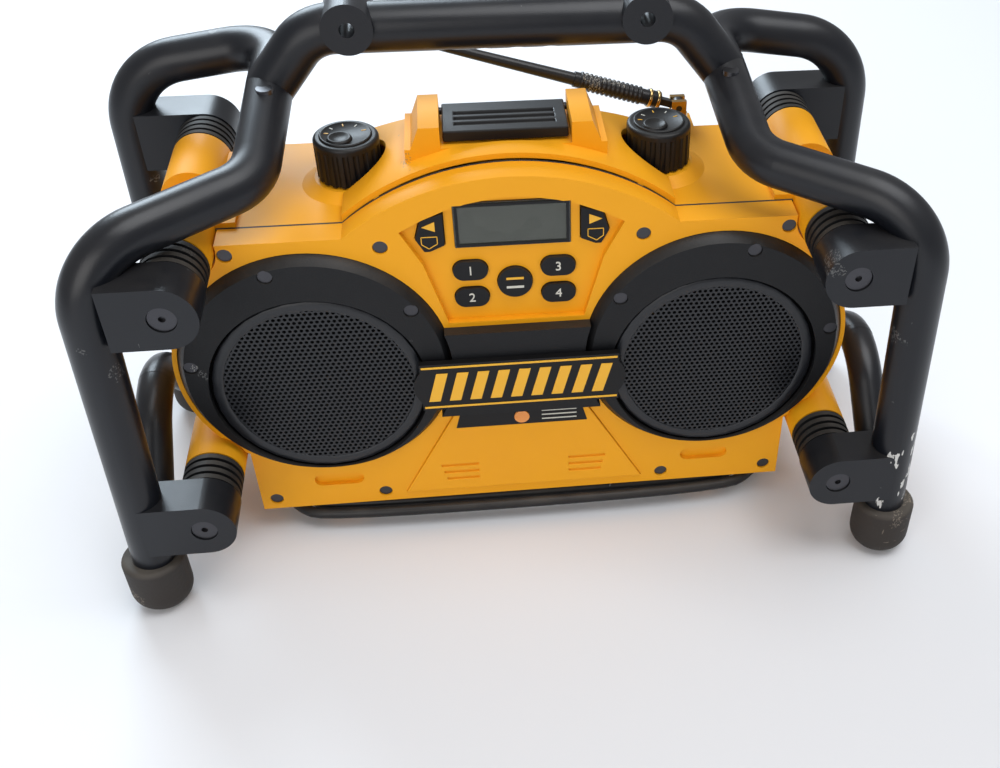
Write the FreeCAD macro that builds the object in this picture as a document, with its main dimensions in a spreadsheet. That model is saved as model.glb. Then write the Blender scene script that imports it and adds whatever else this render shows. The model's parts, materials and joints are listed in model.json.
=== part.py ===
import FreeCAD, Part
import Sketcher
import math
import os
import re

from FreeCAD import Placement, Rotation, Vector

os.makedirs("parts", exist_ok=True)
doc = FreeCAD.newDocument("jobsite_radio")

# Jobsite radio in a tubular cage. X is to the radio's left and right, -Y is its front and
# Z is up. The origin is on the ground, midway between the four feet.

SIZES = (
    ("tube_radius", 12.5, "cage tube, outside radius"),
    ("leg_plane", 90.0, "front and rear legs, distance from the middle"),
    ("foot_spread", 220.0, "foot, distance from the middle plane"),
    ("elbow_spread", 211.0, "top of a front leg, distance from the middle plane"),
    ("rear_spread", 216.0, "top of a rear leg, distance from the middle plane"),
    ("elbow_height", 238.0, "corner point of the front elbow"),
    ("elbow_bend", 38.0, "bend radius of the front elbow"),
    ("crown_bend", 30.0, "bend radius of the cage beside the handle joint"),
    ("shoulder_height", 243.0, "corner point between the arm and the top run"),
    ("shoulder_spread", 130.0, "the same corner, distance from the middle plane"),
    ("shoulder_back", -33.0, "the same corner, from front to back"),
    ("crown_height", 263.0, "cage tube at the handle joint"),
    ("crown_spread", 124.0, "the same joint, distance from the middle plane"),
    ("rear_shoulder_height", 250.0, "corner point of the rear elbow"),
    ("rear_bend", 40.0, "bend radius of the rear elbow"),
    ("rail_height", 92.0, "middle run of the lower side rail"),
    ("rail_flat", 16.0, "lower side rail, half its level run"),
    ("rail_radius", 10.5, "lower side rail, outside radius"),
    ("rail_bend", 45.0, "bend radius of the lower side rail"),
    ("rail_foot", 20.0, "lower side rail where it meets a leg"),
    ("foot_radius", 18.0, "rubber foot"),
    ("foot_tall", 36.0, "rubber foot, height"),
    ("foot_round", 12.0, "rounded bottom edge of a foot"),
    ("foot_wall", 3.0, "rubber under the end of a leg"),
    ("handle_height", 294.0, "top handle, middle of the grip"),
    ("handle_back", 31.0, "top handle, from front to back"),
    ("grip_radius", 13.0, "top handle, outside radius"),
    ("grip_span", 99.0, "corner of the handle, distance from the middle plane"),
    ("scallop_radius", 9.0, "finger scallop"),
    ("scallop_depth", 2.5, "finger scallop"),
    ("scallop_pitch", 18.0, "from one finger scallop to the next"),
    ("scallop_count", 4, "finger scallops"),
    ("grip_bend", 27.0, "bend radius at each end of the handle"),
    ("boss_spread", 78.0, "handle boss, distance from the middle plane"),
    ("boss_rise", 5.0, "handle boss above the middle of the grip"),
    ("boss_radius", 13.5, "handle boss, outside radius"),
    ("boss_bore", 4.0, "through hole in a handle boss, radius"),
    ("boss_half_depth", 15.5, "handle boss, half its length"),
    ("mount_plate_radius", 17.5, "round end of a mount plate"),
    ("arm_high_end", 201.0, "end of a front upper mount arm inside its leg"),
    ("arm_rear_end", 212.0, "end of a rear upper mount arm inside its leg"),
    ("arm_low_end", 217.0, "end of a lower mount arm inside its leg"),
    ("mount_high", 209.0, "upper shock mounts"),
    ("mount_high_spread", 173.0, "upper shock mounts, distance from the middle plane"),
    ("mount_low", 64.0, "lower shock mounts"),
    ("mount_low_spread", 183.0, "lower shock mounts, distance from the middle plane"),
    ("bellows_radius", 17.0, "shock mount, outside radius of a rib"),
    ("bellows_neck", 13.5, "shock mount, radius between ribs"),
    ("bellows_length", 22.5, "shock mount"),
    ("bellows_ribs", 4, "ribs on a shock mount"),
    ("rib_share", 0.6, "rib, as a share of its pitch"),
    ("web_half", 6.0, "web between the bosses of a mount, half height"),
    ("lug_length", 45.0, "housing boss behind a shock mount"),
    ("mount_screw_head", 7.0, "shock mount screw head, radius"),
    ("mount_screw_shank", 3.0, "shock mount screw, radius"),
    ("mount_screw_bite", 16.0, "shock mount screw inside the housing"),
    ("frame_screw_head", 4.5, "cage screw head, radius"),
    ("frame_screw_front", 13.0, "front cage screw, from front to back"),
    ("frame_screw_rear", 49.0, "rear cage screw, from front to back"),
    ("frame_screw_length", 14.0, "cage screw"),
    ("mount_recess", 4.0, "counterbore over a mount screw, depth"),
    ("body_front", -43.0, "face of the front cover"),
    ("body_rear", 64.0, "back of the rear housing"),
    ("body_half_width", 163.0, "flat part of the body, half width"),
    ("body_bottom", 20.0, "underside of the body"),
    ("shelf_top", 212.0, "top of the body at its sides"),
    ("side_radius", 79.0, "round side of the body around a speaker"),
    ("hood_top", 244.0, "top of the arched hood"),
    ("hood_radius", 143.0, "arch of the hood"),
    ("hood_half_width", 90.0, "hood, half width"),
    ("hump_rise", 4.0, "rear hump above the hood"),
    ("hump_back", 27.0, "rear end of the hump's level top"),
    ("slope_top", 249.0, "rear slope of the hump, where it starts"),
    ("wall", 3.0, "moulded wall"),
    ("cover_skin", 7.0, "front wall of the cover"),
    ("cover_depth", 16.0, "front cover, front to back"),
    ("gasket_thick", 1.5, "seal between cover and housing"),
    ("ring_spread", 114.0, "speaker ring, distance from the middle plane"),
    ("ring_height", 128.5, "centre of a speaker ring"),
    ("ring_radius", 76.0, "speaker ring, outside radius"),
    ("ring_face_radius", 72.0, "speaker ring at its front face"),
    ("ring_seat", 5.0, "speaker ring inside the cover"),
    ("ring_proud", 6.0, "speaker ring in front of the cover"),
    ("grille_height", 117.0, "centre of a grille"),
    ("grille_radius", 61.0, "grille, outside radius"),
    ("grille_thick", 1.2, "grille sheet"),
    ("grille_recess", 3.0, "grille behind the ring face"),
    ("speaker_hole", 57.5, "opening in the cover behind a grille, radius"),
    ("speaker_radius", 60.0, "speaker basket flange"),
    ("cone_radius", 48.0, "speaker cone"),
    ("cone_paper", 1.0, "speaker cone, thickness"),
    ("coil_radius", 12.0, "speaker coil"),
    ("magnet_radius", 34.0, "speaker magnet"),
    ("magnet_length", 18.0, "speaker magnet"),
    ("basket_depth", 38.0, "speaker basket behind its flange"),
    ("band_half_width", 62.0, "black band between the rings, half width"),
    ("band_low", 92.0, "lower edge of the band"),
    ("band_high", 151.0, "upper edge of the band"),
    ("badge_half_width", 61.0, "blank badge plate, half width"),
    ("badge_low", 101.0, "lower edge of the badge plate"),
    ("badge_high", 134.0, "upper edge of the badge plate"),
    ("badge_corner", 4.0, "corner of the badge plate"),
    ("badge_thick", 4.0, "badge plate"),
    ("band_proud", 7.5, "band in front of the cover"),
    ("charge_top_half", 38.0, "charger panel, half width at its top"),
    ("charge_foot_half", 74.0, "charger panel, half width at its foot"),
    ("charge_top", 91.0, "charger panel, upper edge"),
    ("charge_foot", 27.0, "charger panel, lower edge"),
    ("charge_seat", 2.0, "charger panel inside the cover"),
    ("vent_tall", 2.0, "vent slot in the charger panel"),
    ("vent_pitch", 5.5, "from one vent slot to the next"),
    ("vent_count", 3, "vent slots on each side"),
    ("vent_low", 35.0, "lowest vent slot"),
    ("vent_inner", 28.0, "inner end of the vent slots"),
    ("vent_long", 20.0, "vent slot"),
    ("slot_wide", 30.0, "slot in the cover under a ring"),
    ("slot_tall", 9.0, "slot in the cover under a ring"),
    ("slot_spread", 114.0, "slot, distance from the middle plane"),
    ("slot_height", 41.0, "slot in the cover"),
    ("charge_proud", 1.5, "charger panel in front of the cover"),
    ("lens_radius", 4.5, "charge light lens"),
    ("lens_proud", 1.5, "charge light lens in front of its panel"),
    ("lens_height", 84.0, "charge light lens"),
    ("pocket_top_half", 60.0, "control pocket, half width at its top"),
    ("pocket_foot_half", 38.0, "control pocket, half width at its foot"),
    ("pocket_top", 232.0, "control pocket, top of its arch"),
    ("pocket_shoulder", 214.0, "control pocket, ends of its arch"),
    ("pocket_waist", 193.0, "control pocket, where its sides turn in"),
    ("pocket_foot", 154.0, "control pocket, lower edge"),
    ("pocket_depth", 4.0, "control pocket behind the cover face"),
    ("window_half_width", 31.0, "display window"),
    ("window_low", 201.0, "display window, lower edge"),
    ("window_high", 228.0, "display window, upper edge"),
    ("window_proud", 1.0, "display window in front of the pocket floor"),
    ("module_thick", 5.0, "display module"),
    ("module_border", 3.0, "display module around its window"),
    ("key_wide", 19.0, "preset key"),
    ("key_tall", 12.0, "preset key"),
    ("key_spread", 24.0, "preset key, distance from the middle plane"),
    ("key_high", 186.5, "upper preset keys"),
    ("key_low", 169.0, "lower preset keys"),
    ("key_proud", 2.2, "key in front of the pocket floor"),
    ("key_gap", 0.4, "gap around a key"),
    ("key_travel", 1.2, "key travel"),
    ("mode_radius", 9.5, "mode key"),
    ("mode_height", 177.5, "mode key"),
    ("tune_inner", 36.5, "tuning key, inner edge"),
    ("tune_outer", 52.0, "tuning key, outer edge"),
    ("tune_waist", 208.0, "tuning key, where its inner corner is cut"),
    ("tune_low", 200.0, "tuning key, lower edge"),
    ("tune_high", 223.0, "tuning key, upper edge"),
    ("tune_cut", 3.5, "cut corners of a tuning key"),
    ("board_thick", 1.6, "circuit board"),
    ("key_board_half", 57.0, "key board, half width"),
    ("key_board_margin", 4.0, "post of the key board from its edges"),
    ("key_board_low", 159.0, "key board, lower edge"),
    ("key_board_high", 227.0, "key board, upper edge"),
    ("board_half_width", 47.0, "main board, half width"),
    ("board_low", 78.0, "lower main board posts"),
    ("board_high", 176.0, "upper main board posts"),
    ("board_margin", 8.0, "main board beyond its posts"),
    ("board_stand", 11.0, "main board in front of the battery bay"),
    ("chip_tall", 3.0, "parts on the main board"),
    ("post_radius", 3.0, "board posts"),
    ("transformer_half_width", 30.0, "transformer, half width"),
    ("transformer_tall", 36.0, "transformer"),
    ("transformer_deep", 44.0, "transformer"),
    ("transformer_front", -10.0, "transformer, front face"),
    ("bobbin_half_width", 18.0, "transformer bobbin, half width"),
    ("bobbin_step", 6.0, "bobbin beyond the core, and inside its height"),
    ("knob_spread", 86.5, "knob, distance from the middle plane"),
    ("knob_back", 18.0, "knob, from front to back"),
    ("knob_radius", 18.0, "knob"),
    ("knob_tall", 23.0, "knob"),
    ("knob_lift", 1.0, "gap under a knob"),
    ("knob_crown", 4.0, "smooth top of a knob"),
    ("knob_round", 2.0, "rounded top edge of a knob"),
    ("knob_flutes", 20, "grooves around a knob"),
    ("flute_radius", 1.8, "groove in a knob"),
    ("pedestal_top", 216.0, "knob pedestal"),
    ("pedestal_radius", 20.0, "knob pedestal at its top"),
    ("pedestal_foot", 33.0, "knob pedestal at its foot"),
    ("shaft_radius", 3.0, "control shaft"),
    ("control_radius", 11.0, "rotary control"),
    ("control_tall", 14.0, "rotary control"),
    ("shaft_reach", 13.0, "control shaft above the pedestal"),
    ("run_gap", 0.05, "running fit around a shaft or pin"),
    ("ear_inner", 35.0, "latch ear, inner face"),
    ("ear_outer", 54.0, "latch ear, outer face at its foot"),
    ("ear_lean", 8.0, "slope of a latch ear's outer side"),
    ("ear_top", 257.0, "latch ear"),
    ("ear_front", -12.0, "latch ear, front end"),
    ("tray_top", 245.0, "floor under the battery latch lid"),
    ("latch_thick", 6.0, "battery latch lid"),
    ("latch_grooves", 3, "grooves in the latch lid"),
    ("groove_first", 7.0, "front groove from the lid's front edge"),
    ("groove_pitch", 6.0, "from one groove to the next"),
    ("groove_wide", 3.0, "groove in the latch lid"),
    ("groove_deep", 1.5, "groove in the latch lid"),
    ("groove_inset", 8.0, "end of a groove from the ear"),
    ("latch_gap", 1.5, "gap beside and under the latch lid"),
    ("latch_front", -8.0, "battery latch lid, front edge"),
    ("latch_pin_back", 22.0, "battery latch hinge, from front to back"),
    ("latch_pin_bite", 8.0, "latch pin inside each ear"),
    ("pin_radius", 2.0, "hinge pins"),
    ("bay_half_width", 43.0, "battery bay"),
    ("bay_low", 66.0, "battery bay, floor"),
    ("bay_high", 188.0, "battery bay, roof"),
    ("bay_front", 2.0, "battery bay, inner end"),
    ("bay_wall", 2.5, "battery bay wall"),
    ("door_grips", 4, "finger grips on the battery door"),
    ("door_thick", 5.0, "battery door"),
    ("door_lap", 8.0, "battery door beyond the bay on each side"),
    ("door_hinge_drop", 6.0, "door hinge below the door"),
    ("knuckle_radius", 4.5, "hinge knuckle"),
    ("knuckle_half", 30.0, "door hinge knuckle, half length"),
    ("hinge_ear", 6.0, "housing ear at a hinge"),
    ("terminal_tall", 30.0, "battery terminal block"),
    ("terminal_thick", 1.2, "battery terminal blade"),
    ("terminal_deep", 12.0, "battery terminal block"),
    ("fit_gap", 0.3, "gap between fitted pieces"),
    ("antenna_spread", 107.0, "antenna, distance from the middle plane"),
    ("antenna_back", 72.0, "antenna, from front to back"),
    ("antenna_pivot", 222.0, "antenna fold axis"),
    ("antenna_rise", 17.0, "antenna above level, degrees"),
    ("antenna_length", 215.0, "antenna from its fold axis to its tip"),
    ("antenna_root", 4.5, "antenna sleeve, radius"),
    ("spigot_radius", 3.0, "antenna knuckle's pin in its bracket"),
    ("collar_radius", 5.0, "brass collar of the antenna"),
    ("whip_radius", 3.7, "antenna beyond its sleeve, radius"),
    ("antenna_bead", 2.8, "bead on the antenna's tip, radius"),
    ("antenna_tongue", 12.0, "flat tongue of the antenna"),
    ("antenna_collar", 8.0, "brass collar of the antenna"),
    ("antenna_sleeve", 46.0, "grip sleeve of the antenna"),
    ("antenna_eye", 2.0, "eye of the antenna, half thickness"),
    ("cheek", 3.0, "cheek of the antenna knuckle"),
    ("base_radius", 9.0, "antenna base"),
    ("base_tall", 4.0, "antenna base"),
    ("antenna_tip", 2.0, "antenna at its tip, radius"),
    ("cleat_spread", 115.0, "cord cleat, distance from the middle plane"),
    ("cleat_radius", 11.0, "cord cleat post"),
    ("cleat_lip", 3.0, "lip under a cord cleat"),
    ("cleat_reach", 34.0, "lip of a cleat beyond its post, to the front and the rear"),
    ("cord_radius", 3.5, "power cord"),
    ("cord_height", 12.0, "power cord, middle above the ground"),
    ("cord_half_turns", 7, "half turns of cord on the cleats"),
    ("plug_room", 8.0, "extra room beside the turn that holds the plug"),
    ("cord_pitch", 9.0, "from one turn to the next"),
    ("cord_inner", 16.0, "innermost half turn, radius"),
    ("cord_back", -3.0, "middle of the winding, from front to back"),
    ("gland_radius", 5.0, "cord gland"),
    ("gland_side", -68.0, "cord gland, to the left of the middle"),
    ("plug_wide", 22.0, "plug"),
    ("plug_tall", 16.0, "plug"),
    ("plug_long", 30.0, "plug"),
    ("plug_round", 3.0, "plug edges"),
    ("plug_side", -30.0, "cord's end, beyond the middle on the side it leaves from"),
    ("blade_long", 17.0, "plug blade"),
    ("blade_thick", 1.5, "plug blade"),
    ("blade_tall", 6.5, "plug blade"),
    ("blade_spread", 6.35, "plug blade, distance from the plug's middle"),
    ("boss_wall", 4.0, "wall of a screw boss"),
    ("screw_head", 3.8, "cover screw head, radius"),
    ("screw_shank", 1.8, "cover screw, radius"),
    ("screw_recess", 3.0, "cover screw head below the cover face"),
    ("screw_top_outer", 151.0, "outer upper cover screws"),
    ("screw_top_inner", 70.5, "inner upper cover screws"),
    ("screw_foot_outer", 154.0, "outer lower cover screws"),
    ("screw_foot_inner", 87.0, "inner lower cover screws"),
    ("screw_top", 205.5, "upper cover screws"),
    ("screw_foot", 28.0, "lower cover screws"),
    ("ring_screw_circle", 68.5, "ring screws, distance from the centre of their ring"),
)

sheet = doc.addObject("Spreadsheet::Sheet", "sizes")
for row, (alias, value, meaning) in enumerate(SIZES, start=1):
    sheet.set(f"A{row}", meaning)
    sheet.set(f"B{row}", str(value))
    sheet.setAlias(f"B{row}", alias)
doc.recompute()
ALIASES = {alias for alias, _, _ in SIZES}


class Sizes:
    """The sheet's cells as attributes, for shapes that are worked out in code."""

    def __getattr__(self, alias):
        return float(getattr(sheet, alias))


d = Sizes()
pieces = {}


def linked(expression):
    """Write an expression in the sheet's aliases as one that FreeCAD can bind."""
    def with_sheet(match):
        word = match.group()
        return f"sizes.{word}" if word in ALIASES else word

    return re.sub(r"[a-z][a-z_]*", with_sheet, str(expression))


def bind(item, **expressions):
    for prop, expression in expressions.items():
        item.setExpression(prop, linked(expression))
    return item


def place(item, x, y, z):
    for axis, expression in (("x", x), ("y", y), ("z", z)):
        item.setExpression(f"Placement.Base.{axis}", linked(expression))
    return item


def box(label, x, y, z):
    """A box from three (low, high) pairs of expressions."""
    item = doc.addObject("Part::Box", label)
    bind(item, Length=f"({x[1]}) - ({x[0]})", Width=f"({y[1]}) - ({y[0]})", Height=f"({z[1]}) - ({z[0]})")
    return place(item, x[0], y[0], z[0])


TURNS = {
    "x": Rotation(Vector(0, 1, 0), 90),
    "y": Rotation(Vector(1, 0, 0), -90),
    "z": Rotation(),
}


def rod(label, radius, length, x, y, z, axis="y"):
    """A cylinder that starts at a point and runs along an axis."""
    item = doc.addObject("Part::Cylinder", label)
    item.Placement = Placement(Vector(), TURNS[axis])
    bind(item, Radius=radius, Height=length)
    return place(item, x, y, z)


def taper(label, radius, end_radius, length, x, y, z, axis="y"):
    """A cone that starts at a point and runs along an axis."""
    item = doc.addObject("Part::Cone", label)
    item.Placement = Placement(Vector(), TURNS[axis])
    bind(item, Radius1=radius, Radius2=end_radius, Height=length)
    return place(item, x, y, z)


def fuse(label, shapes):
    item = doc.addObject("Part::MultiFuse", label)
    item.Shapes = shapes
    item.Refine = True
    return item


def common(label, base, tool):
    item = doc.addObject("Part::Common", label)
    item.Base = base
    item.Tool = tool
    return item


def cut(label, base, tools):
    item = doc.addObject("Part::Cut", label)
    item.Base = base
    item.Tool = tools[0] if len(tools) == 1 else fuse(f"{label}_tools", tools)
    item.Refine = True
    return item


def solid(label, shape):
    """A shape that is worked out in code, as an object of the document."""
    item = doc.addObject("Part::Feature", label)
    item.Shape = shape
    return item


def prism(label, outline, y_low, y_high):
    """A straight block whose front view is a polygon of (x, z) points."""
    points = [Vector(x, y_low, z) for x, z in outline]
    face = Part.Face(Part.makePolygon(points + points[:1]))
    return solid(label, face.extrude(Vector(0, y_high - y_low, 0)))


def keep(name, item):
    """Mark an object as a finished sub-part."""
    item.Label = name
    pieces[name] = item
    return item


def rounded_path(points, radii):
    """Straight runs joined by tangent arcs, one radius for each inner point."""
    edges = []
    start = points[0]
    for before, corner, after, radius in zip(points, points[1:], points[2:], radii):
        back = (before - corner).normalize()
        ahead = (after - corner).normalize()
        half = back.getAngle(ahead) / 2
        reach = radius / math.tan(half)
        first = corner + back * reach
        last = corner + ahead * reach
        middle_way = (back + ahead).normalize()
        centre = corner + middle_way * (radius / math.sin(half))
        middle = centre - middle_way * radius
        edges.append(Part.LineSegment(start, first).toShape())
        edges.append(Part.Arc(first, middle, last).toShape())
        start = last
    edges.append(Part.LineSegment(start, points[-1]).toShape())
    return Part.Wire(edges)


def tube(points, radii, radius):
    """A round bar along a rounded path."""
    path = rounded_path(points, radii)
    direction = (points[1] - points[0]).normalize()
    section = Part.Wire(Part.makeCircle(radius, points[0], direction))
    return path.makePipeShell([section], True, True)


SIDES = (("left", -1), ("right", 1))
# Degrees from the level line that points to the middle of the radio.
RING_SCREW_ANGLES = (35, 105, 172)
ENDS = (("front", -1), ("rear", 1))


def body_outline(tag, low, high, inset, top_rise="0"):
    """The body's front view as a block from one depth to another, drawn in by an inset."""
    depth = (low, high)
    parts = [
        box(
            f"{tag}_block",
            (f"{inset} - body_half_width", f"body_half_width - {inset}"),
            depth,
            (f"body_bottom + {inset}", f"shelf_top - {inset}"),
        )
    ]
    for side, sign in SIDES:
        parts.append(
            rod(
                f"{tag}_{side}_round",
                f"side_radius - {inset}",
                f"({high}) - ({low})",
                f"{sign} * ring_spread",
                low,
                "ring_height",
            )
        )
    arch = rod(
        f"{tag}_arch",
        f"hood_radius - {inset}",
        f"({high}) - ({low})",
        "0",
        low,
        f"hood_top + {top_rise} - hood_radius",
    )
    limits = box(
        f"{tag}_arch_limits",
        (f"{inset} - hood_half_width", f"hood_half_width - {inset}"),
        depth,
        ("ring_height", f"hood_top + {top_rise}"),
    )
    parts.append(common(f"{tag}_hood", arch, limits))
    return fuse(f"{tag}_outline", parts)


LUG_FACE = "(leg_plane - tube_radius - bellows_length)"
SPLIT = "(body_front + cover_depth)"
SEAL = "(body_front + cover_depth + gasket_thick)"
POCKET = "(body_front + pocket_depth)"
SKIN_BACK = "(body_front + cover_skin)"
BOARD_FRONT = "(body_front + cover_skin + module_thick)"


def span(sign, inner, outer):
    """A (low, high) pair of X expressions for one side."""
    return (inner, outer) if sign > 0 else (f"-({outer})", f"-({inner})")


def mount_places():
    """The eight shock mounts: name, end, and place as expressions."""
    for end, way in ENDS:
        for side, sign in SIDES:
            for level in ("high", "low"):
                yield f"{end}_{side}_{level}", way, f"{sign} * mount_{level}_spread", f"mount_{level}"


def mount_bars(tag, radius, nearest, farthest, ends=(-1, 1)):
    """Round bars on the mounts' axes between two distances from the middle of the radio."""
    bars = []
    for name, way, x, z in mount_places():
        if way in ends:
            start = f"-({farthest})" if way < 0 else nearest
            bars.append(rod(f"{tag}_{name}", radius, f"({farthest}) - ({nearest})", x, start, z))
    return bars


def rear_slope(tag, drop):
    """The room behind the hump, over a slope that runs down to the shelf's height."""
    high = d.ear_top + d.wall
    rear = d.body_rear + 1
    edge = [(d.hump_back, high), (d.hump_back, d.slope_top - drop), (rear, d.shelf_top - drop), (rear, high)]
    half = d.hood_half_width + 1
    points = [Vector(-half, y, z) for y, z in edge]
    face = Part.Face(Part.makePolygon(points + points[:1]))
    return solid(f"{tag}_slope", face.extrude(Vector(2 * half, 0, 0)))


def rear_housing():
    outer = body_outline("housing", SEAL, "body_rear", "0", "hump_rise")
    cavity = body_outline("cavity", f"{SEAL} - 1", "body_rear - wall", "wall", "hump_rise")
    outer = cut("housing_outside", outer, [rear_slope("outer", 0)])
    cavity = cut("housing_inside", cavity, [rear_slope("inner", math.sqrt(2) * d.wall)])
    added = [cut("housing_shell", outer, [cavity])]
    added += mount_bars("lug", "bellows_radius", f"{LUG_FACE} - lug_length", LUG_FACE)
    rise = "pedestal_top - shelf_top + wall"
    foot = "shelf_top - wall"
    lip_foot = "cord_height - cord_radius - fit_gap - cleat_lip"
    holes = []
    for side, sign in SIDES:
        knob = f"{sign} * knob_spread"
        pedestal = ("pedestal_foot", "pedestal_radius", rise, knob, "knob_back", foot)
        added.append(taper(f"{side}_pedestal", *pedestal, "z"))
        hole = ("shaft_radius + fit_gap", f"{rise} + 2", knob, "knob_back", f"{foot} - 1")
        holes.append(rod(f"{side}_shaft_hole", *hole, "z"))
        ear = [
            (sign * d.ear_inner, d.shelf_top),
            (sign * (d.ear_outer + d.ear_lean), d.shelf_top),
            (sign * d.ear_outer, d.tray_top - d.ear_lean),
            (sign * (d.ear_outer - d.ear_lean), d.ear_top),
            (sign * d.ear_inner, d.ear_top),
        ]
        added.append(prism(f"{side}_ear", ear, d.ear_front, d.hump_back))
        well = ("pedestal_radius + 1", "ear_top - pedestal_top", knob, "knob_back", "pedestal_top")
        holes.append(rod(f"{side}_knob_well", *well, "z"))
        cleat = f"{sign} * cleat_spread"
        post = ("cleat_radius", f"body_bottom - ({lip_foot})", cleat, "cord_back", lip_foot)
        added.append(rod(f"{side}_cleat_post", *post, "z"))
        lip = (
            (f"{cleat} - cleat_radius", f"{cleat} + cleat_radius"),
            ("cord_back - cleat_reach", "cord_back + cleat_reach"),
            (lip_foot, f"{lip_foot} + cleat_lip"),
        )
        added.append(box(f"{side}_cleat_lip", *lip))
        for level in ("low", "high"):
            board_post = (
                "post_radius",
                "board_stand",
                f"{sign} * (board_half_width - board_margin)",
                "bay_front - bay_wall - board_stand",
                f"board_{level}",
            )
            added.append(rod(f"{side}_{level}_board_post", *board_post))
        ear_x = span(sign, "knuckle_half + fit_gap", "knuckle_half + hinge_ear")
        hinge_z = "bay_low - door_lap - door_hinge_drop"
        hinge_ear = (
            ear_x,
            ("body_rear - wall", "body_rear + 2 * knuckle_radius"),
            (f"{hinge_z} - knuckle_radius", f"{hinge_z} + knuckle_radius - 1"),
        )
        added.append(box(f"{side}_hinge_ear", *hinge_ear))
    bay_skin = (
        ("-bay_half_width - bay_wall", "bay_half_width + bay_wall"),
        ("bay_front - bay_wall", "body_rear"),
        ("bay_low - bay_wall", "bay_high + bay_wall"),
    )
    added.append(box("bay_skin", *bay_skin))
    tray = (("-ear_outer", "ear_outer"), ("ear_front", "hump_back + wall"), ("tray_top - 3 * wall", "tray_top"))
    added.append(box("latch_tray", *tray))

    holes += mount_bars("room", "bellows_radius + 1", LUG_FACE, "body_rear + 1", (1,))
    pilot_end = f"{LUG_FACE} - mount_screw_bite"
    holes += mount_bars("pilot", "mount_screw_shank + run_gap", pilot_end, f"{LUG_FACE} + 1")
    bay_room = (("-bay_half_width", "bay_half_width"), ("bay_front", "body_rear + 1"), ("bay_low", "bay_high"))
    holes.append(box("bay_room", *bay_room))
    latch_room = (("-ear_inner", "ear_inner"), ("ear_front", "body_rear + 1"), ("tray_top", "ear_top + 1"))
    holes.append(box("latch_room", *latch_room))
    pin_hole = "pin_radius + run_gap"
    door_pin = ("2 * (knuckle_half + hinge_ear) + 2", "-(knuckle_half + hinge_ear) - 1")
    holes.append(rod("door_pin_hole", pin_hole, door_pin[0], door_pin[1], DOOR_AXIS[0], DOOR_AXIS[1], "x"))
    latch_pin = ("2 * (ear_inner + latch_pin_bite)", "-(ear_inner + latch_pin_bite)")
    holes.append(rod("latch_pin_hole", pin_hole, latch_pin[0], latch_pin[1], LATCH_AXIS[0], LATCH_AXIS[1], "x"))
    bracket = (
        ("antenna_spread - base_radius", "antenna_spread + base_radius"),
        ("body_rear - wall", "antenna_back + base_radius"),
        ("shelf_top - 4 * base_tall", "shelf_top"),
    )
    added.append(box("antenna_bracket", *bracket))
    spigot = ("spigot_radius + run_gap", "wall + fit_gap + 1", "antenna_spread", "antenna_back")
    holes.append(rod("antenna_hole", *spigot, "shelf_top - wall - fit_gap", "z"))
    gland_seat = ("gland_radius", "wall + 2", "gland_side", GLAND_BACK, "body_bottom - 1")
    holes.append(rod("gland_hole", *gland_seat, "z"))
    for side, sign in SIDES:
        middle = f"{sign} * screw_top_inner"
        arch_height = "sqrt(hood_radius ^ 2 - screw_top_inner ^ 2)"
        rib = (
            (f"{middle} - wall / 2", f"{middle} + wall / 2"),
            (SEAL, SCREW_END),
            ("screw_top", f"hood_top + hump_rise - hood_radius - 1 + {arch_height}"),
        )
        added.append(box(f"{side}_boss_rib", *rib))
        for level in ("high", "low"):
            web = (
                span(sign, "ring_spread + 0.4 * side_radius", f"mount_{level}_spread"),
                (SEAL, f"{LUG_FACE} - wall"),
                (f"mount_{level} - web_half", f"mount_{level} + web_half"),
            )
            added.append(box(f"{side}_{level}_web", *web))
    for name, _, x, z in cover_screw_places():
        added.append(rod(f"{name}_boss", "screw_shank + boss_wall", f"{SCREW_END} - {SEAL}", x, SEAL, z))
        bore = ("screw_shank + run_gap", f"{SCREW_END} - {SEAL} + 2", x, f"{SEAL} - 1", z)
        holes.append(rod(f"{name}_bore", *bore))
    return keep("rear_housing", cut("housing_solid", fuse("housing_block", added), holes))


DOOR_AXIS = ("body_rear + knuckle_radius + fit_gap", "bay_low - door_lap - door_hinge_drop")
LATCH_AXIS = ("latch_pin_back", "tray_top + latch_gap + latch_thick / 2")
GLAND_BACK = "cord_back - cord_inner"
SCREW_END = "(body_front + cover_depth + gasket_thick + 10)"


def cover_screw_places():
    """The eight cover screws: name, side, and place as expressions."""
    for side, sign in SIDES:
        for level in ("top", "foot"):
            for place_name in ("outer", "inner"):
                x = f"{sign} * screw_{level}_{place_name}"
                yield f"{side}_{level}_{place_name}_screw", sign, x, f"screw_{level}"


def ring_screw_places():
    """Three screws around each speaker ring: name, and place worked out from its angle."""
    for side, sign in SIDES:
        for number, degrees in enumerate(RING_SCREW_ANGLES, start=1):
            x = f"{sign} * (ring_spread - ring_screw_circle * cos({degrees}))"
            z = f"ring_height + ring_screw_circle * sin({degrees})"
            yield f"{side}_ring_screw_{number}", x, z


def pill(tag, wide, tall, x, z, low, high):
    """A block with round ends, seen from the front."""
    depth = f"({high}) - ({low})"
    middle = (f"{x} - ({wide} - {tall}) / 2", f"{x} + ({wide} - {tall}) / 2")
    block = box(f"{tag}_middle", middle, (low, high), (f"{z} - {tall} / 2", f"{z} + {tall} / 2"))
    ends = [rod(f"{tag}_end_{n}", f"{tall} / 2", depth, x_end, low, z) for n, x_end in enumerate(middle)]
    return fuse(f"{tag}_pill", [block] + ends)


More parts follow.
